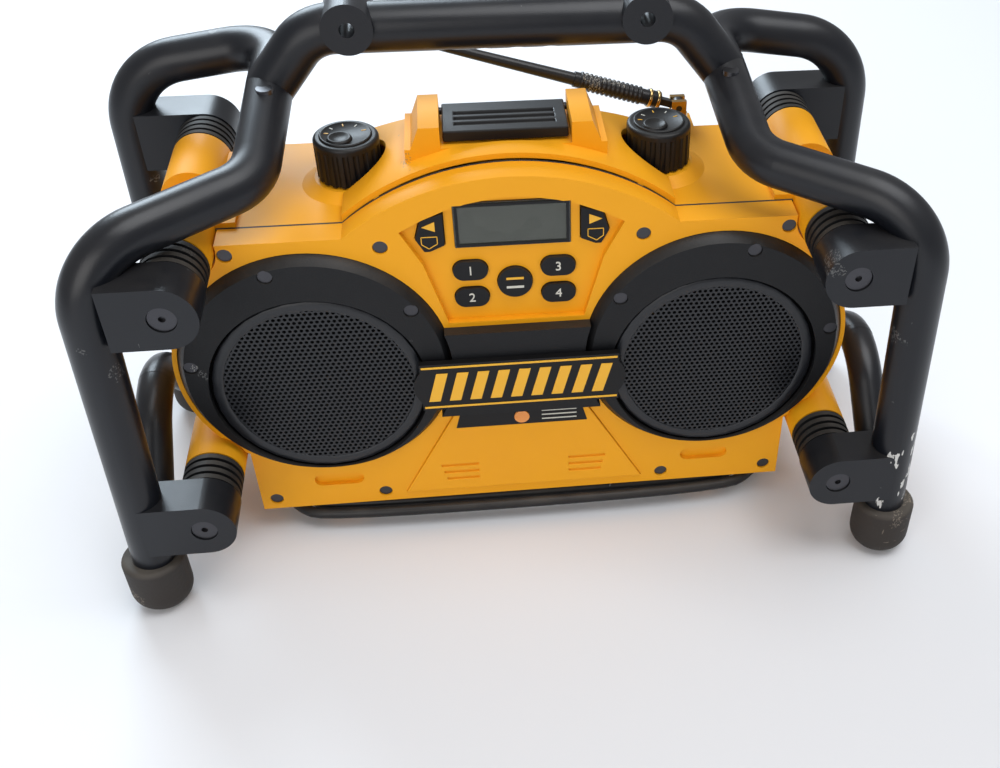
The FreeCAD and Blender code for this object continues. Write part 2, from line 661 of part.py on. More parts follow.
def pocket_outline():
    """Front view of the control pocket: an arched top over sides that draw in."""
    half = d.pocket_top_half
    foot_half = d.pocket_foot_half
    waist = (half + foot_half) / 2
    rise = d.pocket_top - d.pocket_shoulder
    arch = [(half * step / 5, d.pocket_shoulder + rise * (1 - (step / 5) ** 2)) for step in range(-5, 6)]
    right = [(waist, d.pocket_waist), (foot_half, d.pocket_foot)]
    left = [(-x, z) for x, z in reversed(right)]
    return arch + right + left


def tuning_outline(sign, gap):
    """Front view of a tuning key, grown by a gap: upright inside, its outer foot cut away."""
    inner, outer = d.tune_inner - gap, d.tune_outer + gap
    low, high = d.tune_low - gap, d.tune_high + gap
    middle = (inner + outer) / 2
    notch = d.tune_cut
    foot = [(inner, low + notch), (middle, low), (middle + notch, low)]
    head = [(outer, d.tune_waist), (outer - notch, high - notch), (inner, high)]
    points = foot + head
    return [(sign * x, z) for x, z in points]


def charge_outline(gap):
    """Front view of the charger panel, grown by a gap."""
    top, foot = d.charge_top_half + gap, d.charge_foot_half + gap
    low, high = d.charge_foot - gap, d.charge_top + gap
    return [(-foot, low), (foot, low), (top, high), (-top, high)]


def key_places():
    """The four preset keys: name, and place as expressions."""
    yield "preset_key_1", "-key_spread", "key_high"
    yield "preset_key_2", "-key_spread", "key_low"
    yield "preset_key_3", "key_spread", "key_high"
    yield "preset_key_4", "key_spread", "key_low"


def front_cover():
    outer = body_outline("cover", "body_front", SPLIT, "0")
    room = body_outline("cover_room", SKIN_BACK, f"{SPLIT} + 1", "wall")
    shell = cut("cover_shell", outer, [room])
    added = [shell, corner_walls("cover_corner", "1", SKIN_BACK, SPLIT)]
    holes = mount_bars("corner", "bellows_radius + 1", f"-{SPLIT} - 1", "leg_plane", (-1,))
    for side, sign in SIDES:
        ring = f"{sign} * ring_spread"
        seat = ("ring_radius + fit_gap", "ring_seat + 1", ring, "body_front - 1", "ring_height")
        holes.append(rod(f"{side}_ring_seat", *seat))
        opening = ("speaker_hole", "cover_skin + 2", ring, "body_front - 1", "grille_height")
        holes.append(rod(f"{side}_speaker_hole", *opening))
        depth = (d.body_front - 1, d.body_front + d.cover_skin + 1)
        holes.append(prism(f"{side}_tuning_hole", tuning_outline(sign, d.key_gap), *depth))
        slot = ("slot_wide", "slot_tall", f"{sign} * slot_spread", "slot_height")
        holes.append(pill(f"{side}_cover_slot", *slot, "body_front - 1", "body_front + wall"))
    for name, _, x, z in cover_screw_places():
        boss = ("screw_head + 1", f"{SPLIT} - ({SKIN_BACK})", x, SKIN_BACK, z)
        added.append(rod(f"{name}_pillar", *boss))
        holes.append(rod(f"{name}_recess", "screw_head + fit_gap", "screw_recess + 1", x, "body_front - 1", z))
        holes.append(rod(f"{name}_way", "screw_shank + fit_gap", "cover_depth + 2", x, "body_front - 1", z))
    for name, x, z in key_places():
        wide, tall = "(key_wide + 2 * key_gap)", "(key_tall + 2 * key_gap)"
        holes.append(pill(f"{name}_hole", wide, tall, x, z, "body_front - 1", f"{SKIN_BACK} + 1"))
    mode = ("mode_radius + key_gap", "cover_skin + 2", "0", "body_front - 1", "mode_height")
    holes.append(rod("mode_hole", *mode))
    holes.append(prism("pocket_room", pocket_outline(), d.body_front - 1, d.body_front + d.pocket_depth))
    window = (
        ("-window_half_width - fit_gap", "window_half_width + fit_gap"),
        ("body_front - 1", f"{SKIN_BACK} + 1"),
        ("window_low - fit_gap", "window_high + fit_gap"),
    )
    holes.append(box("window_hole", *window))
    holes.append(prism("charge_room", charge_outline(d.fit_gap), d.body_front - 1, d.body_front + d.charge_seat))
    posts = []
    for side, sign in SIDES:
        for level in ("low", "high"):
            x = f"{sign} * (key_board_half - key_board_margin)"
            z = "key_board_low + key_board_margin" if level == "low" else "window_low - 8"
            posts.append(rod(f"{side}_{level}_key_board_post", "post_radius", "module_thick", x, SKIN_BACK, z))
    block = fuse("cover_block", added)
    return keep("front_cover", fuse("cover_with_posts", [cut("cover_solid", block, holes)] + posts))


def corner_walls(tag, clearance, low, high):
    """Curved walls around the lugs of the front mounts, inside the body's outline."""
    bars = mount_bars(f"{tag}_bar", f"bellows_radius + {clearance} + wall", f"-({high})", f"-({low})", (-1,))
    outline = body_outline(f"{tag}_limits", low, high, "0")
    return common(f"{tag}_walls", fuse(f"{tag}_bars", bars), outline)


def cover_gasket():
    outer = body_outline("gasket", SPLIT, SEAL, "0")
    inner = body_outline("gasket_room", f"{SPLIT} - 1", f"{SEAL} + 1", "wall")
    rim = cut("gasket_rim", outer, [inner])
    corners = mount_bars("gasket_corner", "bellows_radius + fit_gap", "0", "leg_plane", (-1,))
    whole = fuse("gasket_block", [rim, corner_walls("gasket_corner", "fit_gap", SPLIT, SEAL)])
    return keep("cover_gasket", cut("gasket_solid", whole, corners))


def speaker_rings():
    for side, sign in SIDES:
        x = f"{sign} * ring_spread"
        front = "body_front - ring_proud"
        profile = ("ring_face_radius", "ring_radius", "ring_proud")
        lip = taper(f"{side}_ring_lip", *profile, x, front, "ring_height")
        seat = rod(f"{side}_ring_base", "ring_radius", "ring_seat", x, "body_front", "ring_height")
        length = "ring_proud + ring_seat + 2"
        bore = rod(f"{side}_ring_bore", "grille_radius + fit_gap", length, x, f"{front} - 1", "grille_height")
        holes = [bore]
        for name, screw_x, screw_z in ring_screw_places():
            if name.startswith(side):
                spot = (screw_x, f"{front} - 1", screw_z)
                holes.append(rod(f"{name}_recess", "screw_head + fit_gap", "screw_recess + 1", *spot))
                holes.append(rod(f"{name}_way", "screw_shank + run_gap", length, *spot))
        ring = cut(f"{side}_ring_solid", fuse(f"{side}_ring_block", [lip, seat]), holes)
        keep(f"{side}_speaker_ring", ring)


def grilles():
    """Each grille is a pressed cup whose rim stands on the cover behind the ring."""
    for side, sign in SIDES:
        x = f"{sign} * ring_spread"
        face = "body_front - ring_proud + grille_recess"
        length = "ring_proud - grille_recess + ring_seat"
        cup = rod(f"{side}_grille_cup", "grille_radius", length, x, face, "grille_height")
        inside = ("grille_radius - grille_thick", length, x, f"{face} + grille_thick", "grille_height")
        room = rod(f"{side}_grille_room", *inside)
        keep(f"{side}_grille", cut(f"{side}_grille_solid", cup, [room]))


def speakers():
    for side, sign in SIDES:
        x = f"{sign} * ring_spread"
        z = "grille_height"
        back = f"{SKIN_BACK} + wall + basket_depth"
        flange = rod(f"{side}_flange", "speaker_radius", "wall", x, SKIN_BACK, z)
        sides = ("speaker_radius - wall", "magnet_radius - wall", "basket_depth")
        horn = taper(f"{side}_horn", *sides, x, f"{SKIN_BACK} + wall", z)
        mouth = rod(f"{side}_mouth", "cone_radius + 2", "wall + 1", x, f"{SKIN_BACK} - 1", z)
        seat = (x, f"{SKIN_BACK} + wall", z)
        hollow = ("cone_radius + 2", "magnet_radius - 3 * wall", "basket_depth - wall", *seat)
        basket = fuse(f"{side}_basket_block", [flange, horn])
        keep(f"{side}_speaker_basket", cut(f"{side}_basket", basket, [mouth, taper(f"{side}_hollow", *hollow)]))

        cone_deep = "basket_depth / 2"
        cone = taper(f"{side}_cone_block", "cone_radius", "coil_radius", cone_deep, x, f"{SKIN_BACK} + wall", z)
        mouth_y = f"{SKIN_BACK} + wall"
        inside = ("cone_radius - cone_paper", "coil_radius - cone_paper", cone_deep, x, f"{mouth_y} - 1", z)
        coil = rod(f"{side}_coil", "coil_radius", "basket_depth / 2 - wall", x, f"{mouth_y} + {cone_deep}", z)
        rim = ("cone_radius + 2", "cone_paper", x, f"{mouth_y} - cone_paper", z)
        surround = rod(f"{side}_surround", *rim)
        rim_room = ("cone_radius - cone_paper", "wall - 1", x, f"{SKIN_BACK} + 1", z)
        surround_room = rod(f"{side}_surround_room", *rim_room)
        cone_room = [taper(f"{side}_cone_room", *inside), surround_room]
        shell = cut(f"{side}_cone_shell", fuse(f"{side}_cone_parts", [cone, surround]), cone_room)
        keep(f"{side}_speaker_cone", fuse(f"{side}_cone", [shell, coil]))
        keep(f"{side}_speaker_magnet", rod(f"{side}_magnet", "magnet_radius", "magnet_length", x, back, z))


def centre_band():
    proud = "band_proud"
    block = box(
        "band_block",
        ("-band_half_width", "band_half_width"),
        (f"body_front - {proud}", "body_front"),
        ("band_low", "band_high"),
    )
    rings = []
    for side, sign in SIDES:
        around = ("ring_radius + fit_gap", f"{proud} + 2", f"{sign} * ring_spread", f"body_front - {proud} - 1")
        rings.append(rod(f"{side}_band_room", *around, "ring_height"))
    keep("centre_band", cut("band_solid", block, rings))

    low = "body_front - band_proud - badge_thick"
    tall = "(badge_high - badge_low)"
    centre = ("0", "(badge_high + badge_low) / 2")
    badge = pill("badge", "(2 * badge_half_width)", tall, *centre, low, "body_front - band_proud")
    middle = (
        ("-badge_half_width + badge_corner", "badge_half_width - badge_corner"),
        (low, "body_front - band_proud"),
        ("badge_low", "badge_high"),
    )
    keep("badge_plate", fuse("badge_solid", [badge, box("badge_block", *middle)]))


def charge_panel():
    front = d.body_front - d.charge_proud
    block = prism("charge_block", charge_outline(0), front, d.body_front + d.charge_seat)
    way = ("lens_radius + run_gap", "charge_proud + charge_seat + 2", "0", "body_front - charge_proud - 1")
    holes = [rod("lens_hole", *way, "lens_height")]
    for side, sign in SIDES:
        for number in range(int(d.vent_count)):
            vent = (
                span(sign, "vent_inner", f"vent_inner + vent_long + {number} * vent_pitch / 4"),
                ("body_front - charge_proud - 1", "body_front"),
                (f"vent_low + {number} * vent_pitch", f"vent_low + {number} * vent_pitch + vent_tall"),
            )
            holes.append(box(f"{side}_vent_{number}", *vent))
    keep("charge_panel", cut("charge_solid", block, holes))
    lens_front = "body_front - charge_proud - lens_proud"
    lens = rod("lens", "lens_radius", "lens_proud + charge_proud + charge_seat", "0", lens_front, "lens_height")
    keep("charge_light_lens", lens)


def display():
    wide = ("-window_half_width", "window_half_width")
    window = (wide, (f"{POCKET} - window_proud", SKIN_BACK), ("window_low", "window_high"))
    keep("display_window", box("window", *window))
    module = (
        ("-window_half_width - module_border", "window_half_width + module_border"),
        (SKIN_BACK, BOARD_FRONT),
        ("window_low - module_border", "window_high + module_border"),
    )
    keep("display_module", box("module", *module))
    board = (
        ("-key_board_half", "key_board_half"),
        (BOARD_FRONT, f"{BOARD_FRONT} + board_thick"),
        ("key_board_low", "key_board_high"),
    )
    keep("key_board", box("key_board_block", *board))


KEY_FACE = f"({POCKET} - key_proud)"
KEY_BACK = f"({BOARD_FRONT} - key_travel - fit_gap)"


def keys():
    for name, x, z in key_places():
        keep(name, pill(name, "key_wide", "key_tall", x, z, KEY_FACE, KEY_BACK))
    mode = rod("mode", "mode_radius", f"{KEY_BACK} - {KEY_FACE}", "0", KEY_FACE, "mode_height")
    keep("mode_key", mode)
    face = d.body_front + d.pocket_depth - d.key_proud
    back = d.body_front + d.cover_skin + d.module_thick - d.key_travel - d.fit_gap
    for side, sign in SIDES:
        keep(f"{side}_tuning_key", prism(f"{side}_tuning", tuning_outline(sign, 0), face, back))


# Blocks on the main board: name, left edge, width, lower edge and height.
BOARD_BLOCKS = (("amplifier", -30, 16, 90, 24), ("tuner", 8, 26, 120, 26), ("control_chip", -24, 22, 140, 14))


def boards():
    half = "board_half_width"
    back = "bay_front - bay_wall - board_stand"
    board = (
        (f"-{half}", half),
        (f"{back} - board_thick", back),
        ("board_low - board_margin", "board_high + board_margin"),
    )
    parts = [box("main_board_sheet", *board)]
    for name, x, wide, z, tall in BOARD_BLOCKS:
        front = f"{back} - board_thick"
        chip = ((f"{x}", f"{x} + {wide}"), (f"{front} - chip_tall", front), (f"{z}", f"{z} + {tall}"))
        parts.append(box(name, *chip))
    keep("main_board", fuse("main_board_solid", parts))

    floor = "body_bottom + wall"
    core = (
        ("-transformer_half_width", "transformer_half_width"),
        ("transformer_front", "transformer_front + transformer_deep"),
        (floor, f"{floor} + transformer_tall"),
    )
    bobbin = (
        ("-bobbin_half_width", "bobbin_half_width"),
        ("transformer_front - bobbin_step", "transformer_front + transformer_deep + bobbin_step"),
        (f"{floor} + bobbin_step", f"{floor} + transformer_tall - bobbin_step"),
    )
    keep("transformer", fuse("transformer_solid", [box("transformer_core", *core), box("bobbin", *bobbin)]))


def rotary(name, side, sign):
    """A rotary control under the shelf, its shaft, and the fluted knob on it."""
    x, y = f"{sign} * knob_spread", "knob_back"
    roof = "shelf_top - wall"
    body = rod(f"{name}_control_body", "control_radius", "control_tall", x, y, f"{roof} - control_tall", "z")
    shaft = ("shaft_radius", "pedestal_top - shelf_top + wall + shaft_reach", x, y, roof)
    keep(f"{name}_control", fuse(f"{name}_control_solid", [body, rod(f"{name}_shaft", *shaft, "z")]))

    blank = doc.addObject("PartDesign::Body", f"{name}_knob_body")
    plane = next(f for f in blank.Origin.OriginFeatures if f.Role == "XY_Plane")

    def circle_sketch(tag, radius, offset):
        sketch = blank.newObject("Sketcher::SketchObject", f"{name}_{tag}")
        sketch.AttachmentSupport = [(plane, "")]
        sketch.MapMode = "FlatFace"
        sketch.addGeometry(Part.Circle(Vector(1, 0, 0), Vector(0, 0, 1), 1), False)
        sketch.addConstraint(Sketcher.Constraint("Radius", 0, 1))
        sketch.setExpression("Constraints[0]", linked(radius))
        sketch.addConstraint(Sketcher.Constraint("DistanceY", -1, 1, 0, 3, 0))
        if offset:
            sketch.addConstraint(Sketcher.Constraint("DistanceX", -1, 1, 0, 3, 1))
            sketch.setExpression("Constraints[2]", linked(offset))
        else:
            sketch.addConstraint(Sketcher.Constraint("DistanceX", -1, 1, 0, 3, 0))
        return sketch

    pad = blank.newObject("PartDesign::Pad", f"{name}_knob_pad")
    pad.Profile = circle_sketch("rim", "knob_radius", None)
    pad.setExpression("Length", linked("knob_tall"))
    doc.recompute()
    bore = blank.newObject("PartDesign::Pocket", f"{name}_knob_bore")
    bore.Profile = circle_sketch("bore", "shaft_radius + run_gap", None)
    bore.Reversed = True
    bore.setExpression("Length", linked("shaft_reach"))
    doc.recompute()
    flute = blank.newObject("PartDesign::Pocket", f"{name}_knob_flute")
    flute.Profile = circle_sketch("flute", "flute_radius", "knob_radius + flute_radius / 3")
    flute.Reversed = True
    flute.setExpression("Length", linked("knob_tall - knob_crown"))
    doc.recompute()
    flutes = blank.newObject("PartDesign::PolarPattern", f"{name}_knob_flutes")
    flutes.Originals = [flute]
    flutes.Axis = (next(f for f in blank.Origin.OriginFeatures if f.Role == "Z_Axis"), [""])
    flutes.Angle = 360
    flutes.Occurrences = int(d.knob_flutes)
    blank.Tip = flutes
    doc.recompute()
    top = blank.newObject("PartDesign::Fillet", f"{name}_knob_round")
    edges = [
        f"Edge{n}"
        for n, edge in enumerate(flutes.Shape.Edges, start=1)
        if edge.BoundBox.ZMin > d.knob_tall - 0.01 and edge.Length > d.knob_radius
    ]
    top.Base = (flutes, edges)
    top.setExpression("Radius", linked("knob_round"))
    blank.Tip = top
    place(blank, x, y, "pedestal_top + knob_lift")
    keep(f"{name}_knob", blank)


def latch():
    lid = (
        ("-ear_inner + latch_gap", "ear_inner - latch_gap"),
        ("latch_front", "latch_pin_back + latch_thick / 2"),
        ("tray_top + latch_gap", "tray_top + latch_gap + latch_thick"),
    )
    grooves = []
    for number in range(int(d.latch_grooves)):
        near = f"latch_front + groove_first + {number} * groove_pitch"
        groove = (
            ("-ear_inner + groove_inset", "ear_inner - groove_inset"),
            (near, f"{near} + groove_wide"),
            ("tray_top + latch_gap + latch_thick - groove_deep", "tray_top + latch_gap + latch_thick + 1"),
        )
        grooves.append(box(f"latch_groove_{number}", *groove))
    long = "2 * ear_inner + 2"
    bore = rod("latch_bore", "pin_radius + run_gap", long, "-ear_inner - 1", *LATCH_AXIS, "x")
    keep("battery_latch", cut("latch_solid", box("latch_lid", *lid), grooves + [bore]))
    half = "(ear_inner + latch_pin_bite)"
    keep("latch_pin", rod("latch_rod", "pin_radius", f"2 * {half}", f"-{half}", *LATCH_AXIS, "x"))


def battery_door():
    low = "bay_low - door_lap"
    plate = (
        ("-bay_half_width - door_lap", "bay_half_width + door_lap"),
        ("body_rear + fit_gap", "body_rear + fit_gap + door_thick"),
        (low, "bay_high + door_lap"),
    )
    barrel = ("knuckle_radius - fit_gap", "2 * knuckle_half", "-knuckle_half")
    knuckle = rod("door_knuckle", *barrel, *DOOR_AXIS, "x")
    web = (
        ("-knuckle_half", "knuckle_half"),
        ("body_rear + fit_gap", f"{DOOR_AXIS[0]} + knuckle_radius - fit_gap"),
        (DOOR_AXIS[1], low),
    )
    bore = rod("door_bore", "pin_radius + run_gap", "2 * knuckle_half + 2", "-knuckle_half - 1", *DOOR_AXIS, "x")
    grips = []
    for number in range(int(d.door_grips)):
        z = f"bay_high - {number} * 3 * groove_pitch"
        grip = (
            ("-bay_half_width / 2", "bay_half_width / 2"),
            ("body_rear + fit_gap + door_thick - groove_deep", "body_rear + fit_gap + door_thick + 1"),
            (f"{z} - 1.5 * groove_pitch", z),
        )
        grips.append(box(f"door_grip_{number}", *grip))
    block = fuse("door_block", [box("door_plate", *plate), knuckle, box("door_web", *web)])
    keep("battery_door", cut("door_solid", block, [bore] + grips))
    half = "(knuckle_half + hinge_ear)"
    keep("door_pin", rod("door_rod", "pin_radius", f"2 * {half}", f"-{half}", *DOOR_AXIS, "x"))

    block = (
        ("-bay_half_width / 2", "bay_half_width / 2"),
        ("bay_front", "bay_front + terminal_deep"),
        ("bay_low", "bay_low + terminal_tall"),
    )
    blades = []
    for number in (-1, 0, 1):
        x = f"{number} * bay_half_width / 3"
        blade = (
            (f"{x} - terminal_thick / 2", f"{x} + terminal_thick / 2"),
            ("bay_front + terminal_deep", "bay_front + 2 * terminal_deep"),
            ("bay_low + terminal_tall / 4", "bay_low + terminal_tall * 3 / 4"),
        )
        blades.append(box(f"terminal_blade_{number + 1}", *blade))
    keep("battery_terminals", fuse("terminals", [box("terminal_block", *block)] + blades))


def antenna():
    x, y = "antenna_spread", "antenna_back"
    spigot = rod("antenna_spigot", "spigot_radius", "wall + 2 * fit_gap", x, y, "shelf_top - wall", "z")
    post_tall = "antenna_pivot - shelf_top - base_tall"
    post = rod("antenna_post", "antenna_root + cheek / 2", post_tall, x, y, "shelf_top + fit_gap", "z")
    low, high = "antenna_pivot - base_tall", "antenna_pivot + antenna_root"
    cheeks = []
    inner = "antenna_eye + run_gap"
    for end, way in ENDS:
        depth = (f"{inner}", f"{inner} + cheek") if way > 0 else (f"-({inner}) - cheek", f"-({inner})")
        depth = tuple(f"{y} + {part}" for part in depth)
        cheek = ((f"{x} - antenna_root", f"{x} + antenna_root"), depth, ("shelf_top + base_tall", high))
        cheeks.append(box(f"{end}_cheek", *cheek))
    through = f"2 * ({inner} + cheek)"
    start = f"{y} - ({inner}) - cheek"
    bore = rod("knuckle_bore", "screw_shank + run_gap", f"{through} + 2", x, f"{start} - 1", "antenna_pivot")
    slot = (
        (f"{x} - 2 * antenna_root", f"{x} + 2 * antenna_root"),
        (f"{y} - ({inner})", f"{y} + {inner}"),
        ("antenna_pivot - antenna_root - fit_gap", f"{high} + 1"),
    )
    block = fuse("knuckle_block", [spigot, post] + cheeks)
    keep("antenna_knuckle", cut("knuckle_solid", block, [bore, box("knuckle_slot", *slot)]))
    keep("antenna_screw", rod("antenna_axle", "screw_shank", through, x, start, "antenna_pivot"))

    pivot = Vector(d.antenna_spread, d.antenna_back, d.antenna_pivot)
    rise = math.radians(d.antenna_rise)
    way = Vector(-math.cos(rise), 0, math.sin(rise))
    eye_start = pivot - Vector(0, d.antenna_eye, 0)
    eye = Part.makeCylinder(d.antenna_root, 2 * d.antenna_eye, eye_start, Vector(0, 1, 0))
    tongue_end = pivot + way * d.antenna_tongue
    tongue = Part.makeBox(d.antenna_tongue, 2 * d.antenna_eye, 2 * d.antenna_eye)
    tongue.translate(Vector(0, -d.antenna_eye, -d.antenna_eye))
    tongue.rotate(Vector(), Vector(0, 1, 0), 180 + d.antenna_rise)
    tongue.translate(pivot)
    collar = Part.makeCylinder(d.collar_radius, d.antenna_collar, tongue_end, way)
    sleeve_start = tongue_end + way * d.antenna_collar
    sleeve = Part.makeCylinder(d.antenna_root, d.antenna_sleeve, sleeve_start, way)
    whip_start = sleeve_start + way * d.antenna_sleeve
    reach = d.antenna_length - d.antenna_tongue - d.antenna_collar - d.antenna_sleeve
    whip = Part.makeCone(d.whip_radius, d.antenna_tip, reach, whip_start, way)
    knob = Part.makeSphere(d.antenna_bead, pivot + way * d.antenna_length)
    bar = eye.fuse([tongue, collar, sleeve, whip, knob])
    across = Vector(0, 1, 0)
    hole_start = pivot - across * 2 * d.antenna_eye
    hole = Part.makeCylinder(d.screw_shank + d.run_gap, 4 * d.antenna_eye, hole_start, across)
    keep("antenna_whip", solid("whip", bar.cut(hole).removeSplitter()))


def leg_routes(sign):
    """Middle lines of the front and the rear cage tube on one side, foot first."""
    foot_z = d.foot_wall
    crown = Vector(sign * d.crown_spread, d.handle_back, d.crown_height)
    front = [
        Vector(sign * d.foot_spread, -d.leg_plane, foot_z),
        Vector(sign * d.elbow_spread, -d.leg_plane, d.elbow_height),
        Vector(sign * d.shoulder_spread, d.shoulder_back, d.shoulder_height),
        crown,
    ]
    rear = [
        Vector(sign * d.foot_spread, d.leg_plane, foot_z),
        Vector(sign * d.rear_spread, d.leg_plane, d.rear_shoulder_height),
        Vector(sign * d.crown_spread, d.leg_plane, d.crown_height),
        crown,
    ]
    return front, rear


def mount_plates(sign, way):
    """The two arms that reach from a leg to its shock mounts, bored for their screws."""
    plates, holes = [], []
    depth = 2 * d.tube_radius
    low_y = way * d.leg_plane - d.tube_radius
    outer_y = way * (d.leg_plane + d.tube_radius)
    arms = (
        (d.mount_high_spread, d.mount_high, d.arm_high_end if way < 0 else d.arm_rear_end),
        (d.mount_low_spread, d.mount_low, d.arm_low_end),
    )
    for spread, height, arm_end in arms:
        middle = Vector(sign * spread, low_y, height)
        plates.append(Part.makeCylinder(d.mount_plate_radius, depth, middle, Vector(0, 1, 0)))
        reach = arm_end - spread
        corner = Vector(min(sign * spread, sign * (spread + reach)), low_y, height - d.mount_plate_radius)
        plates.append(Part.makeBox(reach, depth, 2 * d.mount_plate_radius, corner))
        screw = Vector(sign * spread, outer_y, height)
        inward = Vector(0, -way, 0)
        holes.append(Part.makeCylinder(d.mount_screw_head + d.fit_gap, d.mount_recess, screw, inward))
        holes.append(Part.makeCylinder(d.mount_screw_shank + d.fit_gap, depth, screw, inward))
    return plates, holes


def frame_screw_shapes(sign, gap):
    """The cage screws that fasten the handle's ends, through the crown of one side."""
    shapes = []
    for back in (d.frame_screw_front, d.frame_screw_rear):
        top = d.crown_height + d.tube_radius
        head = Vector(sign * d.crown_spread, back, top - d.frame_screw_head)
        down = Vector(0, 0, -1)
        shapes.append(Part.makeCylinder(d.frame_screw_head + gap, d.frame_screw_head, head, down))
        shank_start = head + down * d.frame_screw_head
        shapes.append(Part.makeCylinder(d.screw_shank + gap, d.frame_screw_length, shank_start, down))
    return shapes


def cage():
    feet = []
    screws = []
    for side, sign in SIDES:
        routes = leg_routes(sign)
        legs = []
        bends = ((d.elbow_bend, d.crown_bend), (d.rear_bend, d.crown_bend))
        for (end, way), route, radii in zip(ENDS, routes, bends):
            bar = tube(route, radii, d.tube_radius)
            plates, holes = mount_plates(sign, way)
            screw_room = frame_screw_shapes(sign, d.run_gap)
            leg = bar.fuse(plates).cut(holes + screw_room + legs).removeSplitter()
            keep(f"{side}_{end}_leg", solid(f"{side}_{end}_leg_tube", leg))
            legs.append(leg)
            foot = foot_shape(route)
            feet.append(foot.cut(leg))
        screws += fused_pairs(frame_screw_shapes(sign, 0.0))

        middle = Vector(sign * (d.foot_spread + d.rear_spread) / 2, 0, d.rail_height)
        flat = Vector(0, d.rail_flat, 0)
        ends = [Vector(sign * d.foot_spread, way * d.leg_plane, d.rail_foot) for _, way in ENDS]
        rail = tube([ends[0], middle - flat, middle + flat, ends[1]], (d.rail_bend, d.rail_bend), d.rail_radius)
        rail = rail.cut(legs + feet[-2:])
        rail = max(rail.Solids, key=lambda piece: piece.Volume)
        keep(f"{side}_side_rail", solid(f"{side}_rail", rail))
    keep("rubber_feet", solid("feet", Part.makeCompound(feet)))
    keep("cage_screws", solid("crown_screws", Part.makeCompound(screws)))


def fused_pairs(shapes):
    return [head.fuse(shank) for head, shank in zip(shapes[0::2], shapes[1::2])]


def foot_shape(route):
    """A rubber cap around the foot of a leg, rounded at its bottom edge."""
    base = Vector(route[0].x, route[0].y, 0)
    cap = Part.makeCylinder(d.foot_radius, d.foot_tall, base, Vector(0, 0, 1))
    bottom = [edge for edge in cap.Edges if edge.BoundBox.ZMax < 0.01]
    cap = cap.makeFillet(d.foot_round, bottom)
    top = [edge for edge in cap.Edges if edge.BoundBox.ZMin > d.foot_tall - 0.01]
    return cap.makeFillet(d.foot_wall, top)


def handle():
    """The top handle: a straight grip whose ends turn down to the cage, with two bosses."""
    left, right = (Vector(sign * d.crown_spread, d.handle_back, d.crown_height) for _, sign in SIDES)
    corners = [Vector(sign * d.grip_span, d.handle_back, d.handle_height) for _, sign in SIDES]
    bar = tube([left, corners[0], corners[1], right], (d.grip_bend, d.grip_bend), d.grip_radius)
    added, holes = [], []
    start_y = d.handle_back - d.boss_half_depth
    along = Vector(0, 1, 0)
    for _, sign in SIDES:
        centre = Vector(sign * d.boss_spread, start_y, d.handle_height + d.boss_rise)
        added.append(Part.makeCylinder(d.boss_radius, 2 * d.boss_half_depth, centre, along))
        holes.append(Part.makeCylinder(d.boss_bore, 2 * d.boss_half_depth, centre, along))
    first = -(d.scallop_count - 1) / 2
    low = d.handle_height - d.grip_radius + d.scallop_depth - d.scallop_radius
    for number in range(int(d.scallop_count)):
        centre = Vector((first + number) * d.scallop_pitch, start_y, low)
        holes.append(Part.makeCylinder(d.scallop_radius, 2 * d.boss_half_depth, centre, along))
    legs = [pieces[f"{side}_{end}_leg"].Shape for side, _ in SIDES for end, _ in ENDS]
    grip = bar.fuse(added).cut(holes + legs + [pieces["cage_screws"].Shape])
    grip = max(grip.removeSplitter().Solids, key=lambda piece: piece.Volume)
    keep("top_handle", solid("handle_bar", grip))


def shock_mounts():
    """Eight ribbed rubber sleeves between the cage's plates and the housing's bosses."""
    mounts, screws = [], []
    pitch = d.bellows_length / d.bellows_ribs
    face = d.leg_plane - d.tube_radius
    for _, way in ENDS:
        for _, sign in SIDES:
            for spread, height in ((d.mount_high_spread, d.mount_high), (d.mount_low_spread, d.mount_low)):
                inward = Vector(0, -way, 0)
                seat = Vector(sign * spread, way * face, height)
                sleeve = Part.makeCylinder(d.bellows_neck, d.bellows_length, seat, inward)
                for number in range(int(d.bellows_ribs)):
                    rib = seat + inward * (pitch * (number + (1 - d.rib_share) / 2))
                    sleeve = sleeve.fuse(Part.makeCylinder(d.bellows_radius, pitch * d.rib_share, rib, inward))
                bore = Part.makeCylinder(d.mount_screw_shank + d.fit_gap, d.bellows_length, seat, inward)
                mounts.append(sleeve.cut(bore))
                head_start = seat - inward * (2 * d.tube_radius - d.mount_recess)
                head_end = head_start - inward * (d.mount_recess - 1)
                head = Part.makeCylinder(d.mount_screw_head, d.mount_recess - 1, head_end, inward)
                reach = 2 * d.tube_radius - d.mount_recess + d.bellows_length + d.mount_screw_bite - 1
                shank = Part.makeCylinder(d.mount_screw_shank, reach, head_start, inward)
                socket = Part.makeCylinder(d.screw_shank, d.mount_recess / 2, head_end, inward)
                screws.append(head.fuse(shank).cut(socket))
    keep("shock_mounts", solid("mounts", Part.makeCompound(mounts)))
    keep("mount_screws", solid("mount_bolts", Part.makeCompound(screws)))


